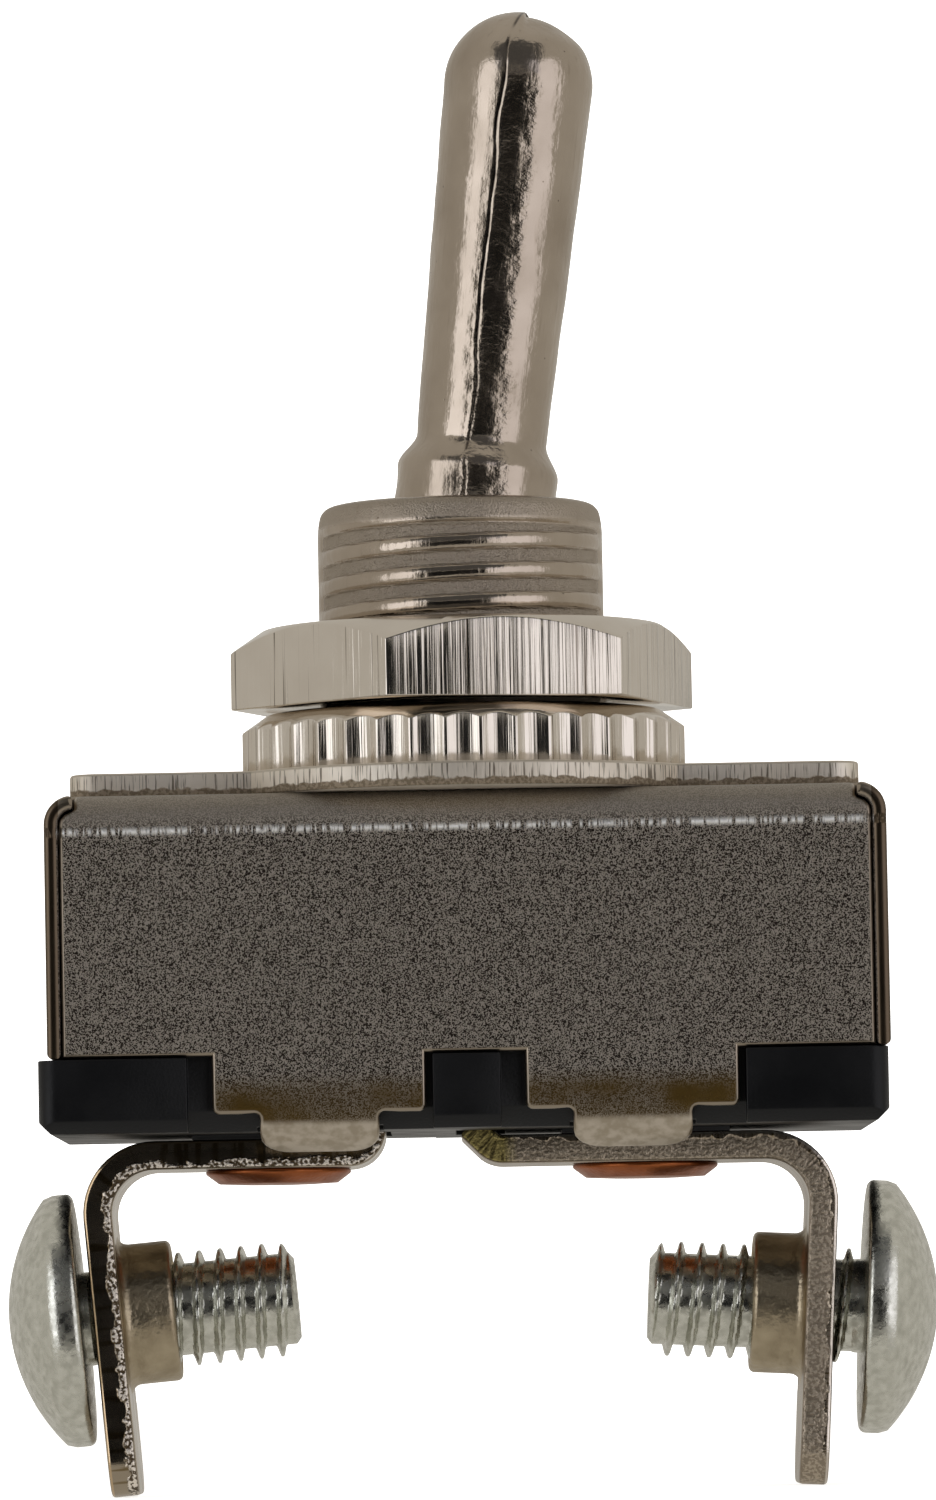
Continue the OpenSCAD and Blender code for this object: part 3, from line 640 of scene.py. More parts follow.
@dataclass(frozen=True)
class ToolMarked(Finish):
    """Nickel over a machined face, with fine tool lines along the axis of the nut.

    Real tool lines are some hundredths of a millimetre apart, too fine to show, so they are drawn
    as coarse as they need to be.
    """

    line_mm: float = 0.13
    step_mm: float = 0.5
    line_depth_mm: float = 0.02
    groove_colour: str = "#6a6054"

    def dress(self, tree: bpy.types.NodeTree, shader: bpy.types.Node) -> None:
        """Links lines that run along Z.

        Args:
            tree: The material's nodes.
            shader: Its shader.
        """
        along = self.where(tree, (1, 1, 0.012))
        wall = add(tree, "ShaderNodeMapRange",
                   SMOOTH | {"From Min": 0.5, "From Max": 0.8, "To Min": 1.0, "To Max": 0.0},
                   {"Value": self.level(tree)}).outputs["Result"]
        fine = add(tree, "ShaderNodeTexNoise",
                   {"Scale": per_metre(self.line_mm), "Detail": 3},
                   {"Vector": along}).outputs["Fac"]
        coarse = add(tree, "ShaderNodeTexNoise",
                     {"Scale": per_metre(self.step_mm), "Detail": 2},
                     {"Vector": along}).outputs["Fac"]
        lines = add(tree, "ShaderNodeMath", PRODUCT, {0: fine, 1: wall}).outputs[0]
        steps = add(tree, "ShaderNodeMath", PRODUCT, {0: coarse, 1: wall}).outputs[0]
        cloud = add(tree, "ShaderNodeTexNoise",
                    {"Scale": per_metre(self.cloud_mm), "Detail": 3},
                    {"Vector": self.where(tree)}).outputs["Fac"]
        tone = add(tree, "ShaderNodeMix",
                   BLEND | {6: linear(self.colour), 7: linear(self.shade)},
                   {0: cloud}).outputs[2]
        scored = add(tree, "ShaderNodeMapRange",
                     SMOOTH | {"From Min": 0.33, "From Max": 0.41, "To Min": 1.0, "To Max": 0.0},
                     {"Value": lines}).outputs["Result"]
        patchy = add(tree, "ShaderNodeMapRange",
                     SMOOTH | {"From Min": 0.4, "From Max": 0.6},
                     {"Value": steps}).outputs["Result"]
        scores = add(tree, "ShaderNodeMath", PRODUCT, {0: scored, 1: patchy}).outputs[0]
        grooved = add(tree, "ShaderNodeMix",
                      BLEND | {7: linear(self.groove_colour)},
                      {0: scores, 6: tone}).outputs[2]
        self.colour_by(tree, shader, grooved)
        self.roughness_by(tree, shader, steps)
        self.relief_by(tree, shader, [(steps, self.line_depth_mm * 2), (lines, self.line_depth_mm)])


@dataclass(frozen=True)
class ShearedSheet(Finish):
    """Plated strip whose sheared edge is part burnished, part torn.

    The mesh's attribute "cut" runs from 0 at the punch's side to 1 at the torn side, and "tip" is
    1 where the strip was cut off after plating and shows its bare brass. The scores of the punch
    are finer than a render shows, so they are drawn as coarse as they need to be.
    """

    torn_colour: str = "#8a7a58"
    torn_shade: str = "#5a4f40"
    bare_colour: str = "#ab9d66"
    bare_shade: str = "#625939"
    torn_from: float = 0.6
    torn_relief_mm: float = 0.04
    torn_roughness: float = 0.15
    crumb_mm: float = 0.14
    line_colour: str = "#5e564c"
    # painted highlight: a light band along the rim just under the punch's side
    rim_highlight_colour: str = "#cbc2b4"
    line_mm: float = 0.09
    line_depth_mm: float = 0.014
    wander_mm: float = 0.7
    wander: float = 0.08
    bent: bool = False

    def across(self, tree: bpy.types.NodeTree) -> Socket:
        """Place for marks that run through the sheet's thickness, also round its bends.

        Args:
            tree: The material's nodes.

        Returns:
            Socket with the place.
        """
        if not self.bent:
            return self.where(tree, (1, 1, 0.05))
        run = add(tree, "ShaderNodeAttribute", {"attribute_name": "run"}).outputs["Fac"]
        cut = add(tree, "ShaderNodeAttribute", {"attribute_name": "cut"}).outputs["Fac"]
        shift = add(tree, "ShaderNodeMapRange",
                    SMOOTH | {"From Min": 0, "From Max": 1, "To Max": 0.0001},
                    {"Value": cut}).outputs["Result"]
        links = {0: run, 1: self.axis(tree, "Y"), 2: shift}
        return add(tree, "ShaderNodeCombineXYZ", links=links).outputs[0]

    def dress(self, tree: bpy.types.NodeTree, shader: bpy.types.Node) -> None:
        """Links the burnished and the torn part of the edge, and a painted highlight along its rim.

        Args:
            tree: The material's nodes.
            shader: Its shader.
        """
        where = self.where(tree)
        cut = add(tree, "ShaderNodeAttribute", {"attribute_name": "cut"}).outputs["Fac"]
        wander = add(tree, "ShaderNodeTexNoise",
                     {"Scale": per_metre(self.wander_mm), "Detail": 3},
                     {"Vector": where}).outputs["Fac"]
        lines = add(tree, "ShaderNodeTexNoise",
                    {"Scale": per_metre(self.line_mm), "Detail": 3},
                    {"Vector": self.across(tree)}).outputs["Fac"]
        grain = add(tree, "ShaderNodeTexNoise",
                    {"Scale": per_metre(self.crumb_mm), "Detail": 4},
                    {"Vector": where}).outputs["Fac"]
        cloud = add(tree, "ShaderNodeTexNoise",
                    {"Scale": per_metre(self.cloud_mm), "Detail": 3},
                    {"Vector": where}).outputs["Fac"]
        drift = add(tree, "ShaderNodeMapRange",
                    SMOOTH | {"From Min": 0.3, "From Max": 0.7, "To Min": -self.wander,
                              "To Max": self.wander},
                    {"Value": wander}).outputs["Result"]
        border = add(tree, "ShaderNodeMath", SUM, {0: cut, 1: drift}).outputs[0]
        below = add(tree, "ShaderNodeMapRange",
                    SMOOTH | {"From Min": self.torn_from, "From Max": self.torn_from + 0.08},
                    {"Value": border}).outputs["Result"]
        face_end = add(tree, "ShaderNodeMapRange",
                       SMOOTH | {"From Min": 0.93, "From Max": 0.97, "To Min": 1.0, "To Max": 0.0},
                       {"Value": cut}).outputs["Result"]
        face_start = add(tree, "ShaderNodeMapRange",
                         SMOOTH | {"From Min": 0.03, "From Max": 0.07},
                         {"Value": cut}).outputs["Result"]
        torn = add(tree, "ShaderNodeMath", PRODUCT, {0: below, 1: face_end}).outputs[0]
        edge = add(tree, "ShaderNodeMath", PRODUCT, {0: face_start, 1: face_end}).outputs[0]
        tone = add(tree, "ShaderNodeMix",
                   BLEND | {6: linear(self.colour), 7: linear(self.shade)},
                   {0: cloud}).outputs[2]
        scored = add(tree, "ShaderNodeMapRange",
                     SMOOTH | {"From Min": 0.36, "From Max": 0.46, "To Min": 1.0, "To Max": 0.0},
                     {"Value": lines}).outputs["Result"]
        scores = add(tree, "ShaderNodeMath", PRODUCT, {0: edge, 1: scored}).outputs[0]
        lined = add(tree, "ShaderNodeMix",
                    BLEND | {7: linear(self.line_colour)},
                    {0: scores, 6: tone}).outputs[2]
        glitter = add(tree, "ShaderNodeMapRange",
                      SMOOTH | {"From Min": 0.46, "From Max": 0.56},
                      {"Value": grain}).outputs["Result"]
        torn_tone = add(tree, "ShaderNodeMix",
                        BLEND | {6: linear(self.torn_shade), 7: linear(self.torn_colour)},
                        {0: glitter}).outputs[2]
        edge_tone = add(tree, "ShaderNodeMix", BLEND, {0: torn, 6: lined, 7: torn_tone}).outputs[2]
        # Painted highlight along the rim just under the punch's side
        rim_start = add(tree, "ShaderNodeMapRange",
                        SMOOTH | {"From Min": 0.02, "From Max": 0.05},
                        {"Value": cut}).outputs["Result"]
        rim_end = add(tree, "ShaderNodeMapRange",
                      SMOOTH | {"From Min": 0.08, "From Max": 0.13, "To Min": 1.0, "To Max": 0.0},
                      {"Value": cut}).outputs["Result"]
        rim = add(tree, "ShaderNodeMath", PRODUCT, {0: rim_start, 1: rim_end}).outputs[0]
        rim_highlighted = add(tree, "ShaderNodeMix",
                     BLEND | {7: linear(self.rim_highlight_colour)},
                     {0: rim, 6: edge_tone}).outputs[2]
        tip = add(tree, "ShaderNodeAttribute", {"attribute_name": "tip"}).outputs["Fac"]
        bare = add(tree, "ShaderNodeMath", PRODUCT, {0: edge, 1: tip}).outputs[0]
        drawn = add(tree, "ShaderNodeMapRange",
                    SMOOTH | {"From Min": 0.4, "From Max": 0.55},
                    {"Value": lines}).outputs["Result"]
        bare_tone = add(tree, "ShaderNodeMix",
                        BLEND | {6: linear(self.bare_shade), 7: linear(self.bare_colour)},
                        {0: drawn}).outputs[2]
        bared = add(tree, "ShaderNodeMix", BLEND, {0: bare, 6: rim_highlighted, 7: bare_tone}).outputs[2]
        self.colour_by(tree, shader, bared)
        base = add(tree, "ShaderNodeMapRange",
                   SMOOTH | {"From Min": 0.3, "From Max": 0.7, "To Min": self.roughness,
                             "To Max": self.roughness + self.spread},
                   {"Value": cloud}).outputs["Result"]
        roughened = add(tree, "ShaderNodeMapRange",
                        SMOOTH | {"From Min": 0, "From Max": 1, "To Max": self.torn_roughness},
                        {"Value": torn}).outputs["Result"]
        rough = add(tree, "ShaderNodeMath", SUM, {0: base, 1: roughened}).outputs[0]
        tree.links.new(rough, shader.inputs["Roughness"])
        scratches = add(tree, "ShaderNodeMath", PRODUCT, {0: lines, 1: edge}).outputs[0]
        crumbs = add(tree, "ShaderNodeMath", PRODUCT, {0: grain, 1: torn}).outputs[0]
        self.relief_by(tree, shader, [(scratches, self.line_depth_mm), (crumbs, self.torn_relief_mm),
                                      (grain, self.relief_mm)])


@dataclass(frozen=True)
class TumbledSheet(Finish):
    """Dull nickel over tumbled steel sheet: a fine speckle, stretch marks along the top bend, and painted
    shade towards the lips' roll.

    The real speckle is finer than a render shows, so it is drawn as coarse as it needs to be. The
    mesh's attribute "cut" tells the sheet's cut edges from its faces. The cut edges get a painted
    highlight, and the end flaps' cut edges get painted shade.
    """

    bend_z_mm: float = -2.6
    bend_half_mm: float = 0.24
    mark_colour: str = "#ffffff"
    mark_depth_mm: float = 0.1
    tick_mm: float = 0.15
    patch_mm: float = 1.6
    speckle_mm: float = 0.054
    # painted highlight: a light tone on the cut edges
    edge_highlight_colour: str = "#9c9182"
    cut_roughness: float = 0.28
    flap_x_mm: float = 16.72
    # painted shade: a dark tone on the end flaps' cut edges
    flap_edge_shade_colour: str = "#5c5042"
    lip_z_mm: float = -14.5
    lip_colour: str = "#c6bcae"
    lip_shade: str = "#aca190"
    smudge_mm: float = 0.5
    # painted shade: a golden-brown band darkening the wall towards the lips' roll
    roll_shade_z_mm: float = -13.6
    roll_shade_colour: str = "#574523"
    roll_shade_blotch_mm: float = 2.2
    roll_shade_fade_mm: float = 1.1

    def dress(self, tree: bpy.types.NodeTree, shader: bpy.types.Node) -> None:
        """Links the speckle, the marks along the bend, and the cut edges with their painted highlight and
        the end flaps' painted shade.

        Args:
            tree: The material's nodes.
            shader: Its shader.
        """
        where = self.where(tree)
        cut = add(tree, "ShaderNodeAttribute", {"attribute_name": "cut"}).outputs["Fac"]
        off_top = add(tree, "ShaderNodeMapRange",
                      SMOOTH | {"From Min": 0.015, "From Max": 0.06},
                      {"Value": cut}).outputs["Result"]
        off_under = add(tree, "ShaderNodeMapRange",
                        SMOOTH | {"From Min": 0.84, "From Max": 0.9, "To Min": 1.0, "To Max": 0.0},
                        {"Value": cut}).outputs["Result"]
        edge = add(tree, "ShaderNodeMath", PRODUCT, {0: off_top, 1: off_under}).outputs[0]
        speckle = add(tree, "ShaderNodeTexNoise",
                      {"Scale": per_metre(self.speckle_mm), "Detail": 2},
                      {"Vector": where}).outputs["Fac"]
        cloud = add(tree, "ShaderNodeTexNoise",
                    {"Scale": per_metre(self.cloud_mm), "Detail": 3},
                    {"Vector": where}).outputs["Fac"]
        height = self.axis(tree, "Z")
        centre = self.bend_z_mm * MM
        half = self.bend_half_mm * MM
        rise = add(tree, "ShaderNodeMapRange",
                   SMOOTH | {"From Min": centre - half, "From Max": centre},
                   {"Value": height}).outputs["Result"]
        fall = add(tree, "ShaderNodeMapRange",
                   SMOOTH | {"From Min": centre, "From Max": centre + half, "To Min": 1.0, "To Max": 0.0},
                   {"Value": height}).outputs["Result"]
        belt = add(tree, "ShaderNodeMath", PRODUCT, {0: rise, 1: fall}).outputs[0]
        ticks = add(tree, "ShaderNodeTexNoise",
                    {"Scale": per_metre(self.tick_mm), "Detail": 2},
                    {"Vector": self.where(tree, (1, 1, 0.12))}).outputs["Fac"]
        patches = add(tree, "ShaderNodeTexNoise",
                      {"Scale": per_metre(self.patch_mm), "Detail": 2},
                      {"Vector": self.where(tree, (1, 1, 0.3))}).outputs["Fac"]
        ticked = add(tree, "ShaderNodeMapRange",
                     SMOOTH | {"From Min": 0.42, "From Max": 0.58},
                     {"Value": ticks}).outputs["Result"]
        patched = add(tree, "ShaderNodeMapRange",
                      SMOOTH | {"From Min": 0.15, "From Max": 0.4},
                      {"Value": patches}).outputs["Result"]
        strength = add(tree, "ShaderNodeMath", PRODUCT, {0: ticked, 1: patched}).outputs[0]
        marks = add(tree, "ShaderNodeMath", PRODUCT, {0: belt, 1: strength}).outputs[0]
        level = add(tree, "ShaderNodeMapRange",
                    SMOOTH | {"From Min": (self.bend_z_mm + 0.9) * MM,
                              "From Max": (self.bend_z_mm - 0.2) * MM, "To Min": 0.35},
                    {"Value": height}).outputs["Result"]
        speckled = add(tree, "ShaderNodeMapRange",
                       SMOOTH | {"From Min": 0.45, "From Max": 0.55},
                       {"Value": speckle}).outputs["Result"]
        dark = add(tree, "ShaderNodeMath", PRODUCT, {0: speckled, 1: level}).outputs[0]
        tone = add(tree, "ShaderNodeMix",
                   BLEND | {6: linear(self.colour), 7: linear(self.shade)},
                   {0: dark}).outputs[2]
        streaked = add(tree, "ShaderNodeMix",
                       BLEND | {7: linear(self.mark_colour)},
                       {0: marks, 6: tone}).outputs[2]
        # Painted shade: a blotchy golden-brown band, darker towards the lips' roll
        spread = add(tree, "ShaderNodeTexNoise",
                     {"Scale": per_metre(self.roll_shade_blotch_mm), "Detail": 3},
                     {"Vector": where}).outputs["Fac"]
        low = add(tree, "ShaderNodeMapRange",
                  SMOOTH | {"From Min": (self.roll_shade_z_mm + self.roll_shade_fade_mm) * MM,
                            "From Max": self.roll_shade_z_mm * MM},
                  {"Value": height}).outputs["Result"]
        blotched = add(tree, "ShaderNodeMapRange",
                       SMOOTH | {"From Min": 0.3, "From Max": 0.7, "To Min": 0.5},
                       {"Value": spread}).outputs["Result"]
        roll_shade = add(tree, "ShaderNodeMath", PRODUCT, {0: low, 1: blotched}).outputs[0]
        roll_shaded = add(tree, "ShaderNodeMix",
                      BLEND | {7: linear(self.roll_shade_colour)},
                      {0: roll_shade, 6: streaked}).outputs[2]
        lip = add(tree, "ShaderNodeMapRange",
                  SMOOTH | {"From Min": self.lip_z_mm * MM, "From Max": (self.lip_z_mm - 0.35) * MM},
                  {"Value": height}).outputs["Result"]
        # Painted highlight on the cut edges, and painted shade on the end flaps' edges beyond flap_x_mm
        side = self.axis(tree, "X")
        across = add(tree, "ShaderNodeMath", PRODUCT, {0: side, 1: side}).outputs[0]
        flap = add(tree, "ShaderNodeMapRange",
                   SMOOTH | {"From Min": (self.flap_x_mm * MM) ** 2,
                             "From Max": ((self.flap_x_mm + 0.03) * MM) ** 2},
                   {"Value": across}).outputs["Result"]
        edge_highlight_and_shade = add(tree, "ShaderNodeMix",
                       BLEND | {6: linear(self.edge_highlight_colour), 7: linear(self.flap_edge_shade_colour)},
                       {0: flap}).outputs[2]
        edges_lit_and_shaded = add(tree, "ShaderNodeMix", BLEND, {0: edge, 6: roll_shaded, 7: edge_highlight_and_shade}).outputs[2]
        smudge = add(tree, "ShaderNodeTexNoise",
                     {"Scale": per_metre(self.smudge_mm), "Detail": 3},
                     {"Vector": where}).outputs["Fac"]
        smudged = add(tree, "ShaderNodeMapRange",
                      SMOOTH | {"From Min": 0.35, "From Max": 0.65},
                      {"Value": smudge}).outputs["Result"]
        lip_tone = add(tree, "ShaderNodeMix",
                       BLEND | {6: linear(self.lip_colour), 7: linear(self.lip_shade)},
                       {0: smudged}).outputs[2]
        lipped = add(tree, "ShaderNodeMix", BLEND, {0: lip, 6: edges_lit_and_shaded, 7: lip_tone}).outputs[2]
        self.colour_by(tree, shader, lipped)
        off_edge = add(tree, "ShaderNodeMapRange",
                       SMOOTH | {"From Min": 0, "From Max": 1, "To Min": 1.0, "To Max": 0.0},
                       {"Value": edge}).outputs["Result"]
        off_lip = add(tree, "ShaderNodeMapRange",
                      SMOOTH | {"From Min": 0, "From Max": 1, "To Min": 1.0, "To Max": 0.15},
                      {"Value": lip}).outputs["Result"]
        plain = add(tree, "ShaderNodeMath", PRODUCT, {0: off_edge, 1: off_lip}).outputs[0]
        base = add(tree, "ShaderNodeMapRange",
                   SMOOTH | {"From Min": 0.3, "From Max": 0.7, "To Min": self.roughness,
                             "To Max": self.roughness + self.spread},
                   {"Value": cloud}).outputs["Result"]
        smooth_edge = add(tree, "ShaderNodeMapRange",
                          SMOOTH | {"From Min": 0, "From Max": 1,
                                    "To Max": self.cut_roughness - self.roughness},
                          {"Value": edge}).outputs["Result"]
        rough = add(tree, "ShaderNodeMath", SUM, {0: base, 1: smooth_edge}).outputs[0]
        tree.links.new(rough, shader.inputs["Roughness"])
        grit = add(tree, "ShaderNodeMath", PRODUCT, {0: speckle, 1: plain}).outputs[0]
        self.relief_by(tree, shader, [(grit, self.relief_mm), (marks, self.mark_depth_mm)])


# Nickel on a zinc casting, plated as cast: warm mirror with waves and pits
CAST_NICKEL = CastNickel("nickel_plated_zinc_casting", "#c4b8aa", "#988b7c", 0.13, spread=0.1,
                         cloud_mm=3.0, grain_mm=0.25, relief_mm=0.013)
# Nickel on brass bar, milled and drawn: crisp lines up the flats
MILLED_NICKEL = ToolMarked("nickel_plated_milled_brass", "#e0d9cf", "#cdc4b8", 0.18, spread=0.14,
                          line_depth_mm=0.028)
# Nickel on blanked steel plate: warm grey, its sheared edge striped and torn below
PLATE_NICKEL = ShearedSheet("nickel_plated_blanked_steel", "#ece5da", "#d9d0c2", 0.52,
                            torn_colour="#ab9e8b", torn_shade="#8f826f", torn_from=0.62, line_depth_mm=0.02,
                            line_colour="#8a8174")
# Nickel on tumbled steel sheet: dark warm grey with a salt-and-pepper grain
CAN_NICKEL = TumbledSheet("dull_nickel_on_tumbled_steel", "#a69e93", "#27221e", 0.42, spread=0.03,
                          relief_mm=0.034)
# Nickel on sheared brass strip: dark burnished edge with a torn, glittering side
STRIP_NICKEL = ShearedSheet("nickel_plated_sheared_brass", "#b5a994", "#96897a", 0.14,
                            torn_colour="#fff6ea", torn_shade="#5b4e3d", torn_from=0.68,
                            torn_relief_mm=0.08, line_mm=0.4,
                            line_depth_mm=0.014, wander=0.14, line_colour="#7d6c50",
                            rim_highlight_colour="#cdb492", bent=True)
# The same strip cut with a worn die: its edge is torn nearly all the way
WORN_STRIP = ShearedSheet("nickel_plated_torn_brass", "#a89c8b", "#8a7d6e", 0.24, torn_colour="#bdb09e",
                          torn_shade="#988c7c", torn_from=0.16, torn_relief_mm=0.05, line_mm=0.13,
                          line_depth_mm=0.03, wander=0.1, line_colour="#6e6048", rim_highlight_colour="#d8cfc4",
                          bent=True)
# Nickel on the drawn boss: smoother than the strip's sheared edge, brassy in its reflections
BOSS_NICKEL = Finish("nickel_plated_drawn_brass", "#c2b59c", "#8f816a", 0.35, cloud_mm=1.0, grain_mm=0.35,
                     relief_mm=0.055)
# Phenolic, compression moulded: black, faintly satin
PHENOLIC = Finish("moulded_black_phenolic", "#050608", "#0b0c0f", 0.4, metallic=0.0, spread=0.12,
                  grain_mm=0.12, relief_mm=0.012, shine=0.24)
# Copper, cold headed: orange with drawn grain
COPPER = Finish("cold_headed_copper", "#b0683c", "#7c4227", 0.34, cloud_mm=0.8, grain_mm=0.15,
                relief_mm=0.02)
# Steel, zinc plated and blue passivated: cold white, slightly cloudy
ZINC = Finish("zinc_plated_steel", "#ecece4", "#a8a89c", 0.27, spread=0.2, cloud_mm=0.4,
              grain_mm=0.18, relief_mm=0.014)
# Brass strip, blanked and bare
BRASS = Finish("blanked_brass", "#c8a561", "#b08c4a", 0.3)
# Silver alloy, coined
SILVER = Finish("coined_silver_alloy", "#d9d7d0", "#c5c2ba", 0.25)
# Steel wire and rod, drawn
STEEL = Finish("drawn_steel", "#9a9a98", "#83837f", 0.3)
# Nylon, moulded, natural
NYLON = Finish("moulded_natural_nylon", "#e2dcc8", "#d5ceb8", 0.45, metallic=0.0)
# Vulcanised fibre sheet: grey-brown and fibrous
FIBRE = Finish("vulcanised_fibre_sheet", "#6d5d49", "#5b4d3c", 0.7, metallic=0.0, grain_mm=0.4,
               relief_mm=0.01)
# Opal acrylic, back-lit: an even pale floor with only a breath of shadow
FLOOR = BackLit("back_lit_opal_acrylic", "#f6f6f5", "#f3f3f2", 0.6, metallic=0.0, cloud_mm=60,
                relief_mm=0.001, glow=0.72)
# Paper, white, lit on its own
BACKDROP = BackLit("white_backdrop_paper", "#fdfdfd", "#fcfcfc", 0.9, metallic=0.0, cloud_mm=60,
                   relief_mm=0.001, glow=1.0)


# ---------------------------------------------------------------- sub-assemblies


@dataclass
class Stem:
    """Threaded stem, die cast with its thread: broad bright crests and dull shallow grooves."""

    pitch: float = 1.25
    phase: float = 0.774
    groove_share: float = 0.56
    depth: float = 0.26
    crest_bulge: float = 0.3
    crest_edge: float = 0.09
    ridge_h: float = 0.12
    ridge_at: float = 0.42
    ridge_w: float = 0.04
    neck_r: float = 5.6
    stake_r: float = 6.6
    stake_z: float = -1.65
    bore_r: float = 4.25
    mouth: float = 0.6
    mouth_turn: float = 18.0
    draw_in: float = 0.14
    rim_matt: float = 0.75
    lead: float = 1.35
    slot_half: float = 1.05
    slot_reach: float = 4.9
    slot_top: float = 6.2
    steps: int = 168
    row: float = 0.06
    radius: float = 6.0
    low: float = field(init=False)
    top: float = field(init=False)

    def __post_init__(self) -> None:
        """Takes the stem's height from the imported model."""
        low, high = low_high("stem_bushing")
        self.low, self.top = low.z, high.z

    def groove(self, turn: float, z: float) -> float:
        """How deep the thread is at an angle and a height, from 0 to 1.

        Args:
            turn: Angle round the stem.
            z: Height.

        Returns:
            The share of the full depth.
        """
        phase = (z / self.pitch - turn / TURN - self.phase) % 1.0
        crest_half = (1 - self.groove_share) / 2
        off_crest = min(phase, 1 - phase)
        bulge = self.crest_bulge * min(1.0, off_crest / crest_half) ** 2
        floor = bulge + (1 - bulge) * ramp(off_crest, crest_half, crest_half + self.crest_edge)
        ridge = self.ridge_h * math.exp(-((phase - self.ridge_at) / self.ridge_w) ** 2)
        ends = ramp(z, self.top - self.lead * 0.7, self.top - self.lead)
        flank = ramp(abs(math.sin(turn)), 0.08, 0.3)
        return (floor - ridge) * ends * flank

    def crown(self, z: float) -> float:
        """Outer radius at a height: the stem draws in a little towards its mouth."""
        share = max(0.0, (z - self.top + self.lead) / (self.lead - self.mouth / 2))
        return self.radius - self.draw_in * share ** 2

    def ring(self, r: float, z: float, threaded: bool = False, slotted: bool = False) -> Ring:
        """One ring of the stem, with its thread or its pin slots.

        Args:
            r: Radius.
            z: Height.
            threaded: Whether the thread is cut into it.
            slotted: Whether it passes the pin's slots.

        Returns:
            The ring.
        """
        points = []
        for i in range(self.steps):
            turn = TURN * i / self.steps
            radius = r
            if threaded:
                radius -= self.depth * self.groove(turn, z)
            across = abs(math.sin(turn))
            if slotted and z < self.slot_top and r * abs(math.cos(turn)) < self.slot_half:
                radius = self.slot_reach / across
            points.append(Vector((radius * math.cos(turn), radius * math.sin(turn), z)))
        return points

    def build(self) -> None:
        """Builds the stem from its staked foot to its mouth and back down the bore."""
        top = self.top
        rings = [self.ring(self.stake_r, self.low), self.ring(self.stake_r, self.stake_z),
                 self.ring(self.neck_r, self.stake_z), self.ring(self.neck_r, 0.0)]
        start = math.radians(self.mouth_turn)
        mouth_z = top - self.mouth * (1 - math.sin(start))
        rings += [self.ring(self.crown(z), z, threaded=True) for z in evenly(0.0, mouth_z, self.row)]
        round_r = self.crown(mouth_z) - self.mouth * math.cos(start)
        rings += [self.ring(r, z) for r, z in
                  arc(round_r, top - self.mouth, self.mouth, self.mouth_turn, 90, 8)]
        ease = self.mouth / 2
        rings += [self.ring(r, z) for r, z in arc(self.bore_r + ease, top - ease, ease, 90, 180, 5)]
        rings += [self.ring(self.bore_r, z, slotted=True)
                  for z in (self.slot_top + 0.01, self.slot_top - 0.01, self.low)]
        stem = skin("threaded_stem", rings, closed=True, sharp_deg=50)
        mark(stem, "matt", self.matt)
        place(stem, CAST_NICKEL, Body.FRAME, "nickel_zinc", "stem_bushing")

    def matt(self, p: Vector) -> float:
        """Dullness of the plating at a point of the stem.

        Args:
            p: The point.

        Returns:
            From 0, bright, to 1, matt.
        """
        r = math.hypot(p.x, p.y)
        if r < self.radius - self.depth - 0.1 or p.z < 0:
            return 0.0
        rim = self.rim_matt * ramp(p.z, self.top - self.lead * 0.8, self.top - self.lead * 0.6)
        return max(rim, ramp(self.groove(math.atan2(p.y, p.x), p.z), 0.45, 0.75))


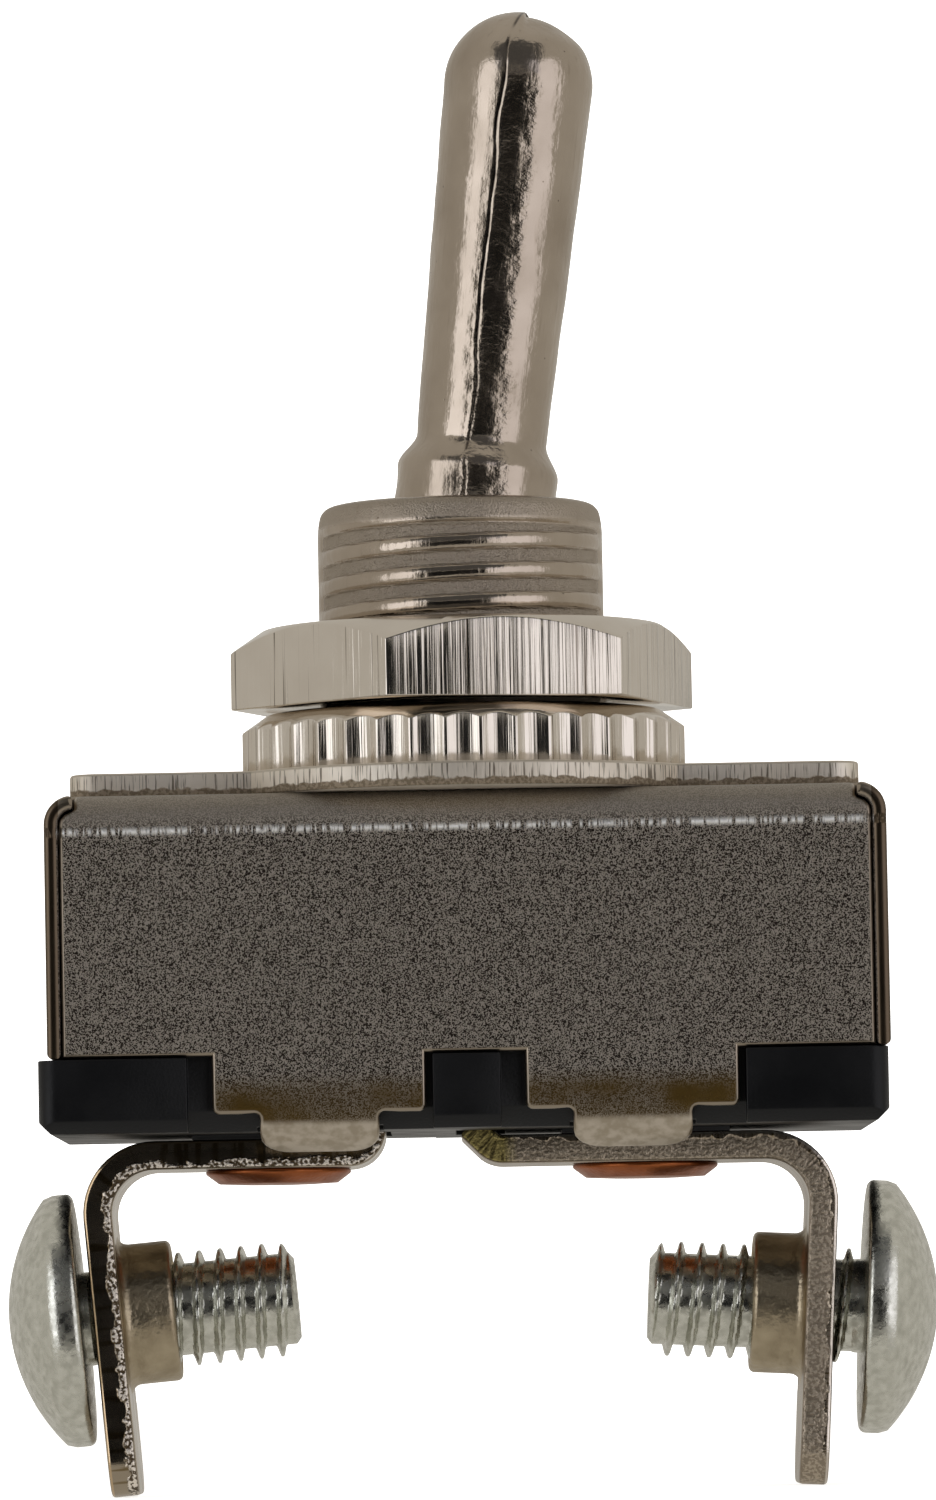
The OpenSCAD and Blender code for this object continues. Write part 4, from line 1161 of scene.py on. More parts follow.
@dataclass
class Lever:
    """Die-cast bat lever with its collar, ball and shank, parted along its front and back."""

    throw: float = math.radians(7)
    pivot_z: float = 6.2
    length: float = 26.3
    bat_r: float = 3.15
    neck_r: float = 2.75
    collar_r: float = 3.4
    collar_top: float = 7.3
    shoulder_down: float = 0.65
    shoulder_up: float = 0.75
    ball_r: float = 4.0
    shank_r: float = 2.6
    shank_l: float = 11.0
    bore_r: float = 1.55
    bore_top: float = 2.0
    pole_r: float = 0.02
    steps: int = 192
    step_down: float = 0.2
    flash: float = 0.01
    parting: float = 0.024
    seam_in: float = math.radians(14)
    crowd: float = 0.6
    crack_w: float = 0.06
    cast_below: float = 2.2
    tear_depth: float = 0.045
    lumps: float = 0.03
    foot_lumps: float = 0.07
    flash_w: float = 0.07
    fade_r: float = 1.2
    parting_off: float = 0.12
    parting_w: float = 0.06
    facet: float = 0.12

    def profile(self) -> list[tuple[float, float]]:
        """Half outline of the lever in its own frame, from the bore's top to the tip.

        Returns:
            Radius and height of each point.
        """
        collar_up = math.sqrt(self.ball_r ** 2 - self.collar_r ** 2)
        shank_up = math.sqrt(self.ball_r ** 2 - self.shank_r ** 2)
        ball = [math.degrees(math.atan2(z, r)) for r, z in
                ((self.shank_r, -shank_up), (self.collar_r, collar_up))]
        tip_z = self.length - self.bat_r
        points = [(self.pole_r, -self.bore_top), (self.bore_r, -self.bore_top), (self.bore_r, -self.shank_l),
                  (self.shank_r - 0.2, -self.shank_l), (self.shank_r, -self.shank_l + 0.2)]
        points += arc(0, 0, self.ball_r, ball[0], ball[1], 16)
        foot = self.collar_top - self.shoulder_down
        start = self.collar_top + self.shoulder_up
        points += [(self.collar_r, z) for z in evenly(collar_up + 0.2, foot, self.facet)]
        for z in evenly(foot, start, 0.1):
            share = ramp(z, foot, start)
            points.append((self.collar_r + (self.neck_r - self.collar_r) * share, z))
        for z in evenly(start, tip_z, self.facet):
            share = (z - start) / (tip_z - start)
            points.append((self.neck_r + (self.bat_r - self.neck_r) * share, z))
        points += arc(0, tip_z, self.bat_r, 0, 89.6, 36)
        return points

    def seam(self, z: float) -> float:
        """Angle of the front parting line at a height, off straight ahead."""
        drift = noise.noise(Vector((3.1, 0.0, z * 0.45))) * 0.06
        return -self.seam_in + 0.05 * ramp(z, 14, 8) + drift

    def build(self) -> None:
        """Builds the lever and tips it to its resting side."""
        rings = []
        for r, z in self.profile():
            ring = []
            for i in range(self.steps):
                turn = TURN * i / self.steps
                turn -= self.crowd * math.sin(turn + math.pi / 2 + self.seam_in)
                ring.append(self.cast(r, z, turn))
            rings.append(ring)
        lever = skin("bat_lever", rings, closed=False, sharp_deg=60)
        mark(lever, "torn", self.torn)
        mark(lever, "crack", self.crack)
        lever.matrix_world = (Matrix.Translation((0, 0, self.pivot_z * MM))
                              @ Matrix.Rotation(self.throw, 4, "Y"))
        place(lever, CAST_NICKEL, Body.LEVER, "nickel_zinc", "lever")

    def cast(self, r: float, z: float, turn: float) -> Vector:
        """A point of the casting, with its waves, flash and mismatched halves.

        Args:
            r, z: Place in the half outline.
            turn: Angle round the axis.

        Returns:
            The point in the lever's own frame.
        """
        out = 0.0
        drop = 0.0
        if z > self.collar_top - self.cast_below and r > 0.1:
            ahead = self.off_seam(turn, z)
            body = min(1.0, r / self.fade_r)
            spot = Vector((math.cos(turn) * r, math.sin(turn) * r, z))
            lumps = self.lumps + self.foot_lumps * ramp(z, self.collar_top + 1.5, self.collar_top)
            out += lumps * noise.noise(spot * 0.6) * body
            ridge = math.exp(-(ahead * r / self.flash_w) ** 2)
            ragged = 0.5 + 0.9 * noise.noise(Vector((7.7, 1.0, z * 2.2)))
            out += self.flash * ridge * ragged * body
            gap = (ahead * r - self.parting_off) / self.parting_w
            out -= self.parting * math.exp(-gap ** 2) * body
            tear = self.tear_band(ahead, z)
            grain = noise.noise(Vector((spot.x * 2.6, spot.y * 2.6, z * 2.4)))
            out += self.tear_depth * tear * grain * body
            drop = self.step_down * ramp(ahead, -0.02, 0.05) * ramp(z, self.length - 1.6, self.length - 0.4)
            drop *= ramp(math.cos(turn), -0.1, 0.1) if r < 2.9 else 1.0
        radius = r + out
        return Vector((radius * math.cos(turn), radius * math.sin(turn), z - drop))

    def off_seam(self, turn: float, z: float) -> float:
        """Angle from the nearer parting line, positive towards the resting side.

        Args:
            turn: Angle round the axis.
            z: Height up the lever.

        Returns:
            The angle, in radians.
        """
        front = (turn + math.pi / 2 - self.seam(z) + math.pi) % TURN - math.pi
        back = -((turn - math.pi / 2 - self.seam(z) + math.pi) % TURN - math.pi)
        return front if abs(front) < abs(back) else back

    def tear_band(self, ahead: float, z: float) -> float:
        """How torn the metal is beside the parting line, from 0 to 1.

        Args:
            ahead: Angle from the parting line.
            z: Height up the lever.

        Returns:
            The share.
        """
        near = 0.7 * math.exp(-((ahead - 0.03) / 0.07) ** 2) * ramp(z, 15, 10)
        inside = 0.25 * ramp(ahead, 0.0, 0.08) * ramp(ahead, 0.6, 0.45)
        right = 0.8 * math.exp(-((ahead - 0.54) / 0.08) ** 2)
        return (near + inside + right) * ramp(z, self.length - 2.6, self.length - 3.6)

    def crack(self, p: Vector) -> float:
        """Painted shade in the seam's crack at a point of the lever.

        Args:
            p: The point.

        Returns:
            From 0 to 1.
        """
        if p.z < self.collar_top:
            return 0.0
        turn = math.atan2(p.y, p.x)
        off = self.off_seam(turn, p.z) * math.hypot(p.x, p.y) - 0.1
        broken = ramp(noise.noise(Vector((2.0, 5.0, p.z * 1.1))), -0.25, 0.15)
        return 0.85 * broken * math.exp(-(off / self.crack_w) ** 2)

    def torn(self, p: Vector) -> float:
        """Torn metal at a point of the lever.

        Args:
            p: The point.

        Returns:
            From 0 to 1.
        """
        if p.z < self.collar_top - self.cast_below:
            return 0.0
        turn = math.atan2(p.y, p.x)
        return min(1.0, self.tear_band(self.off_seam(turn, p.z), p.z))


@dataclass
class LocatingPlate:
    """Blanked plate between nuts and can, with two arms and a round middle."""

    arm_half: float = 6.2
    corner: float = 1.2
    disc_r: float = 10.8
    hole_r: float = 5.65
    edge: float = 0.14

    def outline(self, half: float) -> list[tuple[float, float]]:
        """Outline of the plate, anticlockwise from its right arm.

        Args:
            half: Half the plate's length.

        Returns:
            Its points.
        """
        c = self.corner
        meet = math.degrees(math.asin(self.arm_half / self.disc_r))
        right = arc(half - c, self.arm_half - c, c, 0, 90) + arc(0, 0, self.disc_r, meet, 180 - meet, 40)
        left = [(-x, -y) for x, y in right]
        points = right + arc(-half + c, self.arm_half - c, c, 90, 180)
        return points + left + arc(half - c, -self.arm_half + c, c, 270, 360)

    def build(self) -> None:
        """Builds the plate flat under the stem's origin."""
        low, high = low_high("locating_plate")
        thickness = high.z - low.z
        bm = blank("plate_blank", self.outline(high.x), [(0, 0, self.hole_r)], thickness, self.edge)
        middle = (low.z + high.z) / 2
        plate = folded("blanked_plate", bm, lambda p: p + Vector((0, 0, middle)), thickness)
        place(plate, PLATE_NICKEL, Body.FRAME, "nickel_plate", "locating_plate")


@dataclass
class Can:
    """Can folded from one blank, with four crimp tabs whose lips are rolled under the base."""

    sheet: float = 0.6
    bend_r: float = 1.2
    seam: float = 0.03
    edge: float = 0.24
    tab_w: float = 8.8
    tab_h: float = 2.4
    tab_corner: float = 0.32
    tab_x: float = 6.44
    shift: float = 0.25
    lip_w: float = 4.9
    lip_flat: float = 0.75
    lip_r: float = 1.9
    lip_turn: float = math.radians(62)
    lip_corner: float = 1.2
    lip_drop: float = 0.5
    hole_r: float = 5.65
    blend: float = 0.9
    foot_notch: float = 0.25
    wall_drop: float = 11.9
    bend_steps: int = 10
    roll_steps: int = 14
    blend_steps: int = 6
    half_x: float = field(init=False)
    half_y: float = field(init=False)
    top: float = field(init=False)
    bend_l: float = field(init=False)
    wall_end: float = field(init=False)
    lip_start: float = field(init=False)

    def __post_init__(self) -> None:
        """Takes the can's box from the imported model."""
        low, high = low_high("can")
        self.half_x = high.x - self.bend_r
        self.half_y = high.y - self.bend_r
        self.top = high.z
        self.bend_l = self.bend_r * math.pi / 2
        self.wall_end = self.bend_l + self.top - self.bend_r + self.wall_drop
        lip_h = self.lip_r * math.sin(self.lip_turn) + self.lip_flat * math.cos(self.lip_turn)
        self.lip_start = self.bend_l + self.top - self.bend_r - (low.z - self.lip_drop + lip_h)

    def lips(self) -> list[float]:
        """Middle of each lip along X."""
        return [side * self.tab_x + self.shift for side in (-1, 1)]

    def front(self) -> list[tuple[float, float]]:
        """Outline of the front flap, from its left corner to its right one, as (x, reach).

        Returns:
            X and distance past the bend's start of each point.
        """
        inner = self.bend_r - self.sheet
        turns = [i * math.pi / 16 for i in range(9)]
        depths = [math.sqrt(max(0.0, inner ** 2 - (self.bend_r * math.cos(a)) ** 2)) for a in turns]
        corner = [(self.half_x - self.seam + depth, a * self.bend_r) for depth, a in zip(depths, turns)]
        wide = self.half_x + self.bend_r - self.sheet - self.seam
        tab_end = self.wall_end + self.tab_h
        lip_end = self.lip_start + self.lip_r * self.lip_turn + self.lip_flat
        c, lc, n = self.tab_corner, self.lip_corner, self.foot_notch
        points = [(-x, reach) for x, reach in corner] + [(-wide, self.wall_end)]
        for x in self.lips():
            left, right = x - self.tab_w / 2, x + self.tab_w / 2
            lip_left, lip_right = x - self.lip_w / 2, x + self.lip_w / 2
            points += [(left, self.wall_end)]
            points += arc(left + c, tab_end - c, c, 180, 90, 6)
            points += [(lip_left - n, tab_end)] + arc(lip_left - n, tab_end + n, n, 270, 360, 4)
            points += arc(lip_left + lc, lip_end - lc, lc, 180, 90, 6)
            points += arc(lip_right - lc, lip_end - lc, lc, 90, 0, 6)
            points += arc(lip_right + n, tab_end + n, n, 180, 270, 4) + [(lip_right + n, tab_end)]
            points += arc(right - c, tab_end - c, c, 90, 0, 6)
            points += [(right, self.wall_end)]
        return points + [(wide, self.wall_end)] + corner[::-1]

    def outline(self) -> list[tuple[float, float]]:
        """Outline of the whole blank.

        Returns:
            Its points, anticlockwise.
        """
        hx, hy = self.half_x, self.half_y
        end_w = hy + self.bend_r
        low = [(x, -hy - reach) for x, reach in self.front()]
        right = [(hx, -hy), (hx, -end_w), (hx + self.wall_end, -end_w), (hx + self.wall_end, end_w),
                 (hx, end_w), (hx, hy)]
        high = [(x, hy + reach) for x, reach in reversed(self.front())]
        left = [(-x, -y) for x, y in right]
        return low + right + high + left

    def bend(self, reach: float, depth: float) -> tuple[float, float]:
        """Where a flap's point comes to, out from the bend's start and up from the can's top.

        Args:
            reach: Distance past the bend's start, along the outer face.
            depth: Depth under the outer face.

        Returns:
            Distance outward and height over the top face.
        """
        r = self.bend_r - depth
        if reach < self.bend_l:
            a = reach / self.bend_r
            return r * math.sin(a), r * math.cos(a) - self.bend_r
        return r, -self.bend_r - (reach - self.bend_l)

    def roll(self, reach: float, depth: float) -> tuple[float, float]:
        """Where a lip's point comes to, as bend() gives it.

        Args:
            reach: Distance past the bend's start, along the outer face.
            depth: Depth under the outer face.

        Returns:
            Distance outward and height over the top face.
        """
        if reach < self.lip_start:
            return self.bend(reach, depth)
        _, start_z = self.bend(self.lip_start, 0)
        r = self.lip_r - depth
        a = min((reach - self.lip_start) / self.lip_r, self.lip_turn)
        straight = reach - self.lip_start - a * self.lip_r
        return (self.bend_r - self.lip_r + r * math.cos(a) - straight * math.sin(a),
                start_z - r * math.sin(a) - straight * math.cos(a))

    def fold(self, p: Vector) -> Vector:
        """Folds one point of the blank.

        Args:
            p: The point.

        Returns:
            Its place in the can.
        """
        depth = self.sheet / 2 - p.z
        past_end = abs(p.y) > self.half_y + self.bend_r + 0.01
        if past_end or (abs(p.x) <= self.half_x and abs(p.y) > self.half_y):
            side = math.copysign(1, p.y)
            reach = abs(p.y) - self.half_y
            out, up = self.bend(reach, depth)
            beside = min(abs(p.x - x) for x in self.lips()) - self.lip_w / 2
            share = 1 - ramp(beside, 0.0, self.blend)
            if share > 0 and reach > self.lip_start:
                roll_out, roll_up = self.roll(reach, depth)
                out += (roll_out - out) * share
                up += (roll_up - up) * share
            return Vector((p.x, side * (self.half_y + out), self.top + up))
        if abs(p.x) > self.half_x:
            side = math.copysign(1, p.x)
            out, up = self.bend(abs(p.x) - self.half_x, depth)
            return Vector((side * (self.half_x + out), p.y, self.top + up))
        return Vector((p.x, p.y, self.top - depth))

    def build(self) -> None:
        """Blanks, slices and folds the can."""
        bm = blank("can_blank", self.outline(), [(0, 0, self.hole_r)], self.sheet, self.edge)
        bends = [i * self.bend_l / self.bend_steps for i in range(self.bend_steps + 1)]
        lip_l = self.lip_r * self.lip_turn
        rolls = [self.lip_start + i * lip_l / self.roll_steps for i in range(self.roll_steps + 1)]
        for sign in (-1, 1):
            slice_blank(bm, Vector((0, 1, 0)), [sign * (self.half_y + b) for b in bends + rolls])
            slice_blank(bm, Vector((1, 0, 0)), [sign * (self.half_x + b) for b in bends])
        blends = [sign * (self.lip_w / 2 + i * self.blend / self.blend_steps)
                  for i in range(self.blend_steps + 1) for sign in (-1, 1)]
        slice_blank(bm, Vector((1, 0, 0)), [x + b for x in self.lips() for b in blends])
        can = folded("folded_can", bm, self.fold, self.sheet)
        place(can, CAN_NICKEL, Body.FRAME, "nickel_can", "can")


@dataclass
class Terminal:
    """Terminal bent from strip, with a drawn and tapped boss behind its screw hole."""

    side: Side
    node: str
    lug: str
    lean: float
    rivet_x: float
    end_x: float
    end_turn: float
    end_l: float
    finish: Finish
    bare_end: bool = False
    strip: float = 1.2
    width: float = 7.5
    bend_r: float = 3.0
    end_r: float = 1.5
    tip_corner: float = 1.7
    edge: float = 0.16
    boss_r: float = 2.95
    boss_l: float = 2.2
    boss_fillet: float = 0.45
    boss_ease: float = 0.25
    hole_r: float = 2.45
    rivet_r: float = 1.55
    pad_z: float = -15.2
    bend_steps: int = 14
    slice_l: float = 0.6
    steps: int = 64
    reach: float = field(init=False)
    bend_x: float = field(init=False)
    leg_l: float = field(init=False)
    screw: Vector = field(init=False)
    drop: float = field(init=False)
    parts: list[tuple[float, float]] = field(init=False)
    origin: tuple[float, float] = field(init=False)

    def __post_init__(self) -> None:
        """Works out the strip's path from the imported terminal."""
        low, high = low_high(self.node)
        self.reach = high.x if self.side is Side.RIGHT else -low.x
        self.bend_x = self.reach - self.bend_r
        leg_top = self.pad_z - self.bend_r
        lean = math.radians(self.lean)
        self.leg_l = (leg_top - low.z - self.bend_r * math.sin(lean)) / math.cos(lean)
        self.screw = mount_place(self.lug)
        self.drop = (leg_top - self.screw.z - self.bend_r * math.sin(lean)) / math.cos(lean)
        mid = self.strip / 2
        end_turn, leg_turn = math.radians(self.end_turn), math.radians(90 + self.lean)
        self.parts = [(self.end_l, 0.0), ((self.end_r - mid) * end_turn, end_turn),
                      (self.bend_x - self.end_x, 0.0), ((self.bend_r - mid) * leg_turn, -leg_turn),
                      (self.leg_l, 0.0)]
        self.origin = self.walk(self.parts[0][0] + self.parts[1][0])[:2]

    def walk(self, s: float) -> tuple[float, float, float]:
        """Follows the strip's middle from its inner end.

        Args:
            s: Distance along it.

        Returns:
            X and Z from that end, and the heading there.
        """
        x, z, heading = 0.0, 0.0, -math.radians(self.end_turn)
        for length, turn in self.parts:
            part = min(s, length)
            swing = turn * part / length
            if turn:
                r = length / turn
                x += r * (math.sin(heading + swing) - math.sin(heading))
                z -= r * (math.cos(heading + swing) - math.cos(heading))
            else:
                x += part * math.cos(heading)
                z += part * math.sin(heading)
            heading += swing
            s -= part
            if s <= 0:
                break
        return x, z, heading

    def along(self, s: float, out: float) -> tuple[float, float]:
        """Place of a point of the strip in the XZ plane, before its side is chosen.

        Args:
            s: Distance along the strip from its inner end, on its middle.
            out: Distance off the middle, positive towards the top face.

        Returns:
            X and Z.
        """
        x, z, heading = self.walk(s)
        return (x - out * math.sin(heading) - self.origin[0] + self.end_x,
                z + out * math.cos(heading) - self.origin[1] + self.pad_z - self.strip / 2)

    def build(self) -> None:
        """Blanks, pierces and bends the strip, and draws its boss."""
        total = sum(length for length, _ in self.parts)
        half, c = self.width / 2, self.tip_corner
        outline = [(0, half), (0, -half)]
        outline += arc(total - c, -half + c, c, 270, 360, 8) + arc(total - c, half - c, c, 0, 90, 8)
        start_leg = total - self.leg_l
        rivet_s = self.end_l + self.parts[1][0] + self.rivet_x - self.end_x
        holes = [(start_leg + self.drop, 0.0, self.hole_r), (rivet_s, 0.0, self.rivet_r)]
        bm = blank("strip", outline, holes, self.strip, self.edge)
        at = 0.0
        cuts = []
        for length, turn in self.parts:
            steps = self.bend_steps if turn else max(1, round(length / self.slice_l))
            cuts += [at + length * i / steps for i in range(steps)]
            at += length
        slice_blank(bm, Vector((1, 0, 0)), cuts[1:])
        sign = self.side.value

        def bent(p: Vector) -> Vector:
            """Point of the bent strip."""
            x, z = self.along(p.x, p.z)
            return Vector((sign * x, p.y, z))

        strip = folded(f"{self.node}_strip", bm, bent, self.strip)
        if self.bare_end:
            mark(strip, "tip", lambda p: ramp(abs(p.x), self.end_x + 0.3, self.end_x))
        place(strip, self.finish, Body.FRAME, "terminal_nickel", self.node)
        boss = skin(f"{self.node}_boss", self.boss_rings(), closed=True, sharp_deg=50)
        boss.matrix_world = self.screw_frame()
        place(boss, BOSS_NICKEL, Body.FRAME, "terminal_nickel")

    def screw_frame(self) -> Matrix:
        """Frame at the screw's axis on the leg's outer face, with Z outward.

        Returns:
            The frame, in metres.
        """
        lean = math.radians(self.lean)
        outward = Vector((self.side.value * math.cos(lean), 0, -math.sin(lean)))
        turn = outward.to_track_quat("Z", "Y").to_matrix().to_4x4()
        return Matrix.Translation(self.screw * MM) @ turn

    def boss_rings(self) -> list[Ring]:
        """Rings of the boss, from its root on the leg to its end and back through the hole.

        Returns:
            The rings, about the screw's axis.
        """
        root, end = -self.strip + 0.05, -self.strip - self.boss_l
        f, r = self.boss_fillet, self.boss_r
        e = self.boss_ease
        outline = [(r + f, root)] + arc(r + f, -self.strip - f, f, 90, 180, 6)
        outline += arc(r - e, end + e, e, 0, -90, 5)
        outline += [(self.hole_r + e, end), (self.hole_r, end + e), (self.hole_r, root)]
        return turned(outline, self.steps)


@dataclass
class Rivet:
    """Solid copper rivet: a low flat head under the terminal, and its set end inside."""

    node: str
    head_r: float = 3.05
    face_r: float = 2.5
    head_h: float = 0.65
    shank_r: float = 1.5
    set_r: float = 2.1
    set_h: float = 0.55
    ease: float = 0.12
    pole_r: float = 0.02
    steps: int = 72

    def build(self) -> None:
        """Builds the rivet from its head's face to its set end."""
        low, high = low_high(self.node)
        middle = (low + high) / 2
        seat = low.z + self.head_h
        outline = [(self.pole_r, low.z), (self.face_r * 0.6, low.z + 0.01),
                   (self.face_r, low.z + self.ease / 2)]
        outline += arc(self.head_r - self.ease, seat - self.ease, self.ease, -60, 90, 6)
        outline += [(self.shank_r, seat), (self.shank_r, high.z - self.set_h),
                    (self.set_r, high.z - self.set_h)]
        outline += arc(self.set_r - self.ease, high.z - self.ease, self.ease, 0, 90, 4)
        outline += [(self.pole_r, high.z)]
        rings = turned(outline, self.steps, middle.x, middle.y)
        rivet = skin(f"{self.node}_piece", rings, closed=False)
        place(rivet, COPPER, Body.FRAME, "copper", self.node)


@dataclass
class TerminalScrew:
    """Truss-headed terminal screw with a rolled thread, backed out a little."""

    node: str
    body: Body
    terminal: Terminal
    gap: float
    length: float = 9.0
    major_r: float = 2.4
    minor_r: float = 1.92
    pitch: float = 0.88
    crest: float = 0.1
    head_r: float = 5.3
    rim: float = 1.1
    dome: float = 2.05
    slot_w: float = 1.3
    slot_depth: float = 1.5
    ease: float = 0.28
    slot_half_l: float = 9.0
    slot_edge: float = 0.05
    pole_r: float = 0.02
    sharp_deg: float = 40.0
    steps: int = 96
    row: float = 0.05

    def thread(self, turn: float, z: float) -> float:
        """Radius of the threaded shank at an angle and a height.

        Args:
            turn: Angle round the screw.
            z: Height.

        Returns:
            The radius.
        """
        phase = abs((z / self.pitch + turn / TURN) % 1.0 - 0.5) * 2
        crest = 1 - ramp(phase, self.crest, self.crest + 0.42)
        start = ramp(z, -self.length, -self.length + 0.6)
        return self.minor_r + (self.major_r - self.minor_r) * crest * start

    def build(self) -> None:
        """Builds the screw with its head's underside at its own origin, and slots its head."""
        low_r = self.minor_r - 0.25
        rings = [self.circle(lambda a, r=r: r, -self.length) for r in (self.pole_r, low_r)]
        rings += [self.circle(lambda a, z=z: self.thread(a, z), z)
                  for z in evenly(-self.length + 0.2, -0.4, self.row)]
        rings += [self.circle(lambda a: self.minor_r + 0.05, z) for z in (-0.3, 0.0)]
        dome_r = (self.head_r ** 2 + self.dome ** 2) / (2 * self.dome)
        top = self.rim + self.dome
        rim_angle = math.degrees(math.asin((dome_r - self.dome) / dome_r))
        e = self.ease
        outline = arc(self.head_r - e, e, e, -90, 0, 4) + [(self.head_r, self.rim - e)]
        outline += arc(0, top - dome_r, dome_r, rim_angle + 1.2, 89.9, 30)
        rings += [self.circle(lambda a, r=r: r, z) for r, z in outline]
        screw = skin(f"{self.node}_piece", rings, closed=False, sharp_deg=self.sharp_deg)
        w, l = self.slot_w / 2, self.slot_half_l
        cutter = blank("slot_blank", [(-w, -l), (w, -l), (w, l), (-w, l)], [], 2 * self.slot_depth,
                       self.slot_edge)
        tool = folded("slot_tool", cutter, lambda p: p + Vector((0, 0, top)), 2 * self.slot_depth)
        drill(screw, tool)
        screw.data.shade_smooth()
        screw.data.set_sharp_from_angle(angle=math.radians(self.sharp_deg))
        back = Matrix.Translation((0, 0, self.gap * MM))
        screw.matrix_world = self.terminal.screw_frame() @ back
        place(screw, ZINC, self.body, "zinc_screw", self.node)

    def circle(self, radius: Callable[[float], float], z: float) -> Ring:
        """A ring whose radius depends on the angle."""
        angles = [TURN * i / self.steps for i in range(self.steps)]
        return [Vector((radius(a) * math.cos(a), radius(a) * math.sin(a), z)) for a in angles]


@dataclass
class EasedNode:
    """A CAD node's shape with its sharp edges eased, as moulding or deburring leaves them."""

    node: str
    name: str
    finish: Finish
    body: Body
    slot: str
    width: float
    shade_deg: float = 40.0
    sharp_deg: float = 28.0
    steps: int = 2

    def build(self) -> None:
        """Joins the node's facets, bevels its sharp edges and dresses the copy."""
        bm = bmesh.new()
        bm.from_mesh(frame["nodes"][self.node].data)
        bmesh.ops.remove_doubles(bm, verts=bm.verts, dist=1e-6)
        bmesh.ops.dissolve_limit(bm, angle_limit=math.radians(0.5), verts=bm.verts, edges=bm.edges)
        limit = math.radians(self.sharp_deg)
        sharp = [e for e in bm.edges if e.is_manifold and abs(e.calc_face_angle(0)) > limit]
        bmesh.ops.bevel(bm, geom=sharp, offset=self.width * MM, segments=self.steps, profile=0.5,
                        affect="EDGES", clamp_overlap=True)
        bmesh.ops.triangulate(bm, faces=[f for f in bm.faces if len(f.verts) > 4])
        mesh = bpy.data.meshes.new(self.name)
        bm.to_mesh(mesh)
        bm.free()
        piece = finish_object(self.name, mesh, self.shade_deg)
        place(piece, self.finish, self.body, self.slot, self.node)


@dataclass
class PlungerSpring:
    """The coil behind the plunger, squeezed from below as the plunger is pressed in."""

    tilt: float = math.radians(7)
    stroke: float = 0.8
    shade_deg: float = 40.0

    def build(self) -> None:
        """Copies the CAD coil and dresses it to ride with the lever."""
        mesh = frame["nodes"]["plunger_spring"].data.copy()
        coil = finish_object("coil_spring", mesh, self.shade_deg)
        place(coil, STEEL, Body.LEVER, "steel_wire", "plunger_spring")
        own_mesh(coil)


@dataclass
class KeptNodes:
    """CAD nodes whose own shapes show, each with its finish."""

    finishes: dict[str, Finish] = field(default_factory=lambda: {
        "rocker": COPPER,
        "pivot_pin": STEEL, "rocker_pin": STEEL, "plunger": NYLON,
        "insulating_liner": FIBRE, "fulcrum_bracket": BRASS, "fixed_contact_strip": BRASS,
        "fixed_contact": SILVER, "moving_contact": SILVER,
    })

    def build(self) -> None:
        """Gives each node its finish."""
        for node, finish in self.finishes.items():
            obj = frame["nodes"][node]
            obj.data.materials.clear()
            obj.data.materials.append(finish.material())
            log.info("dressed %s", node)


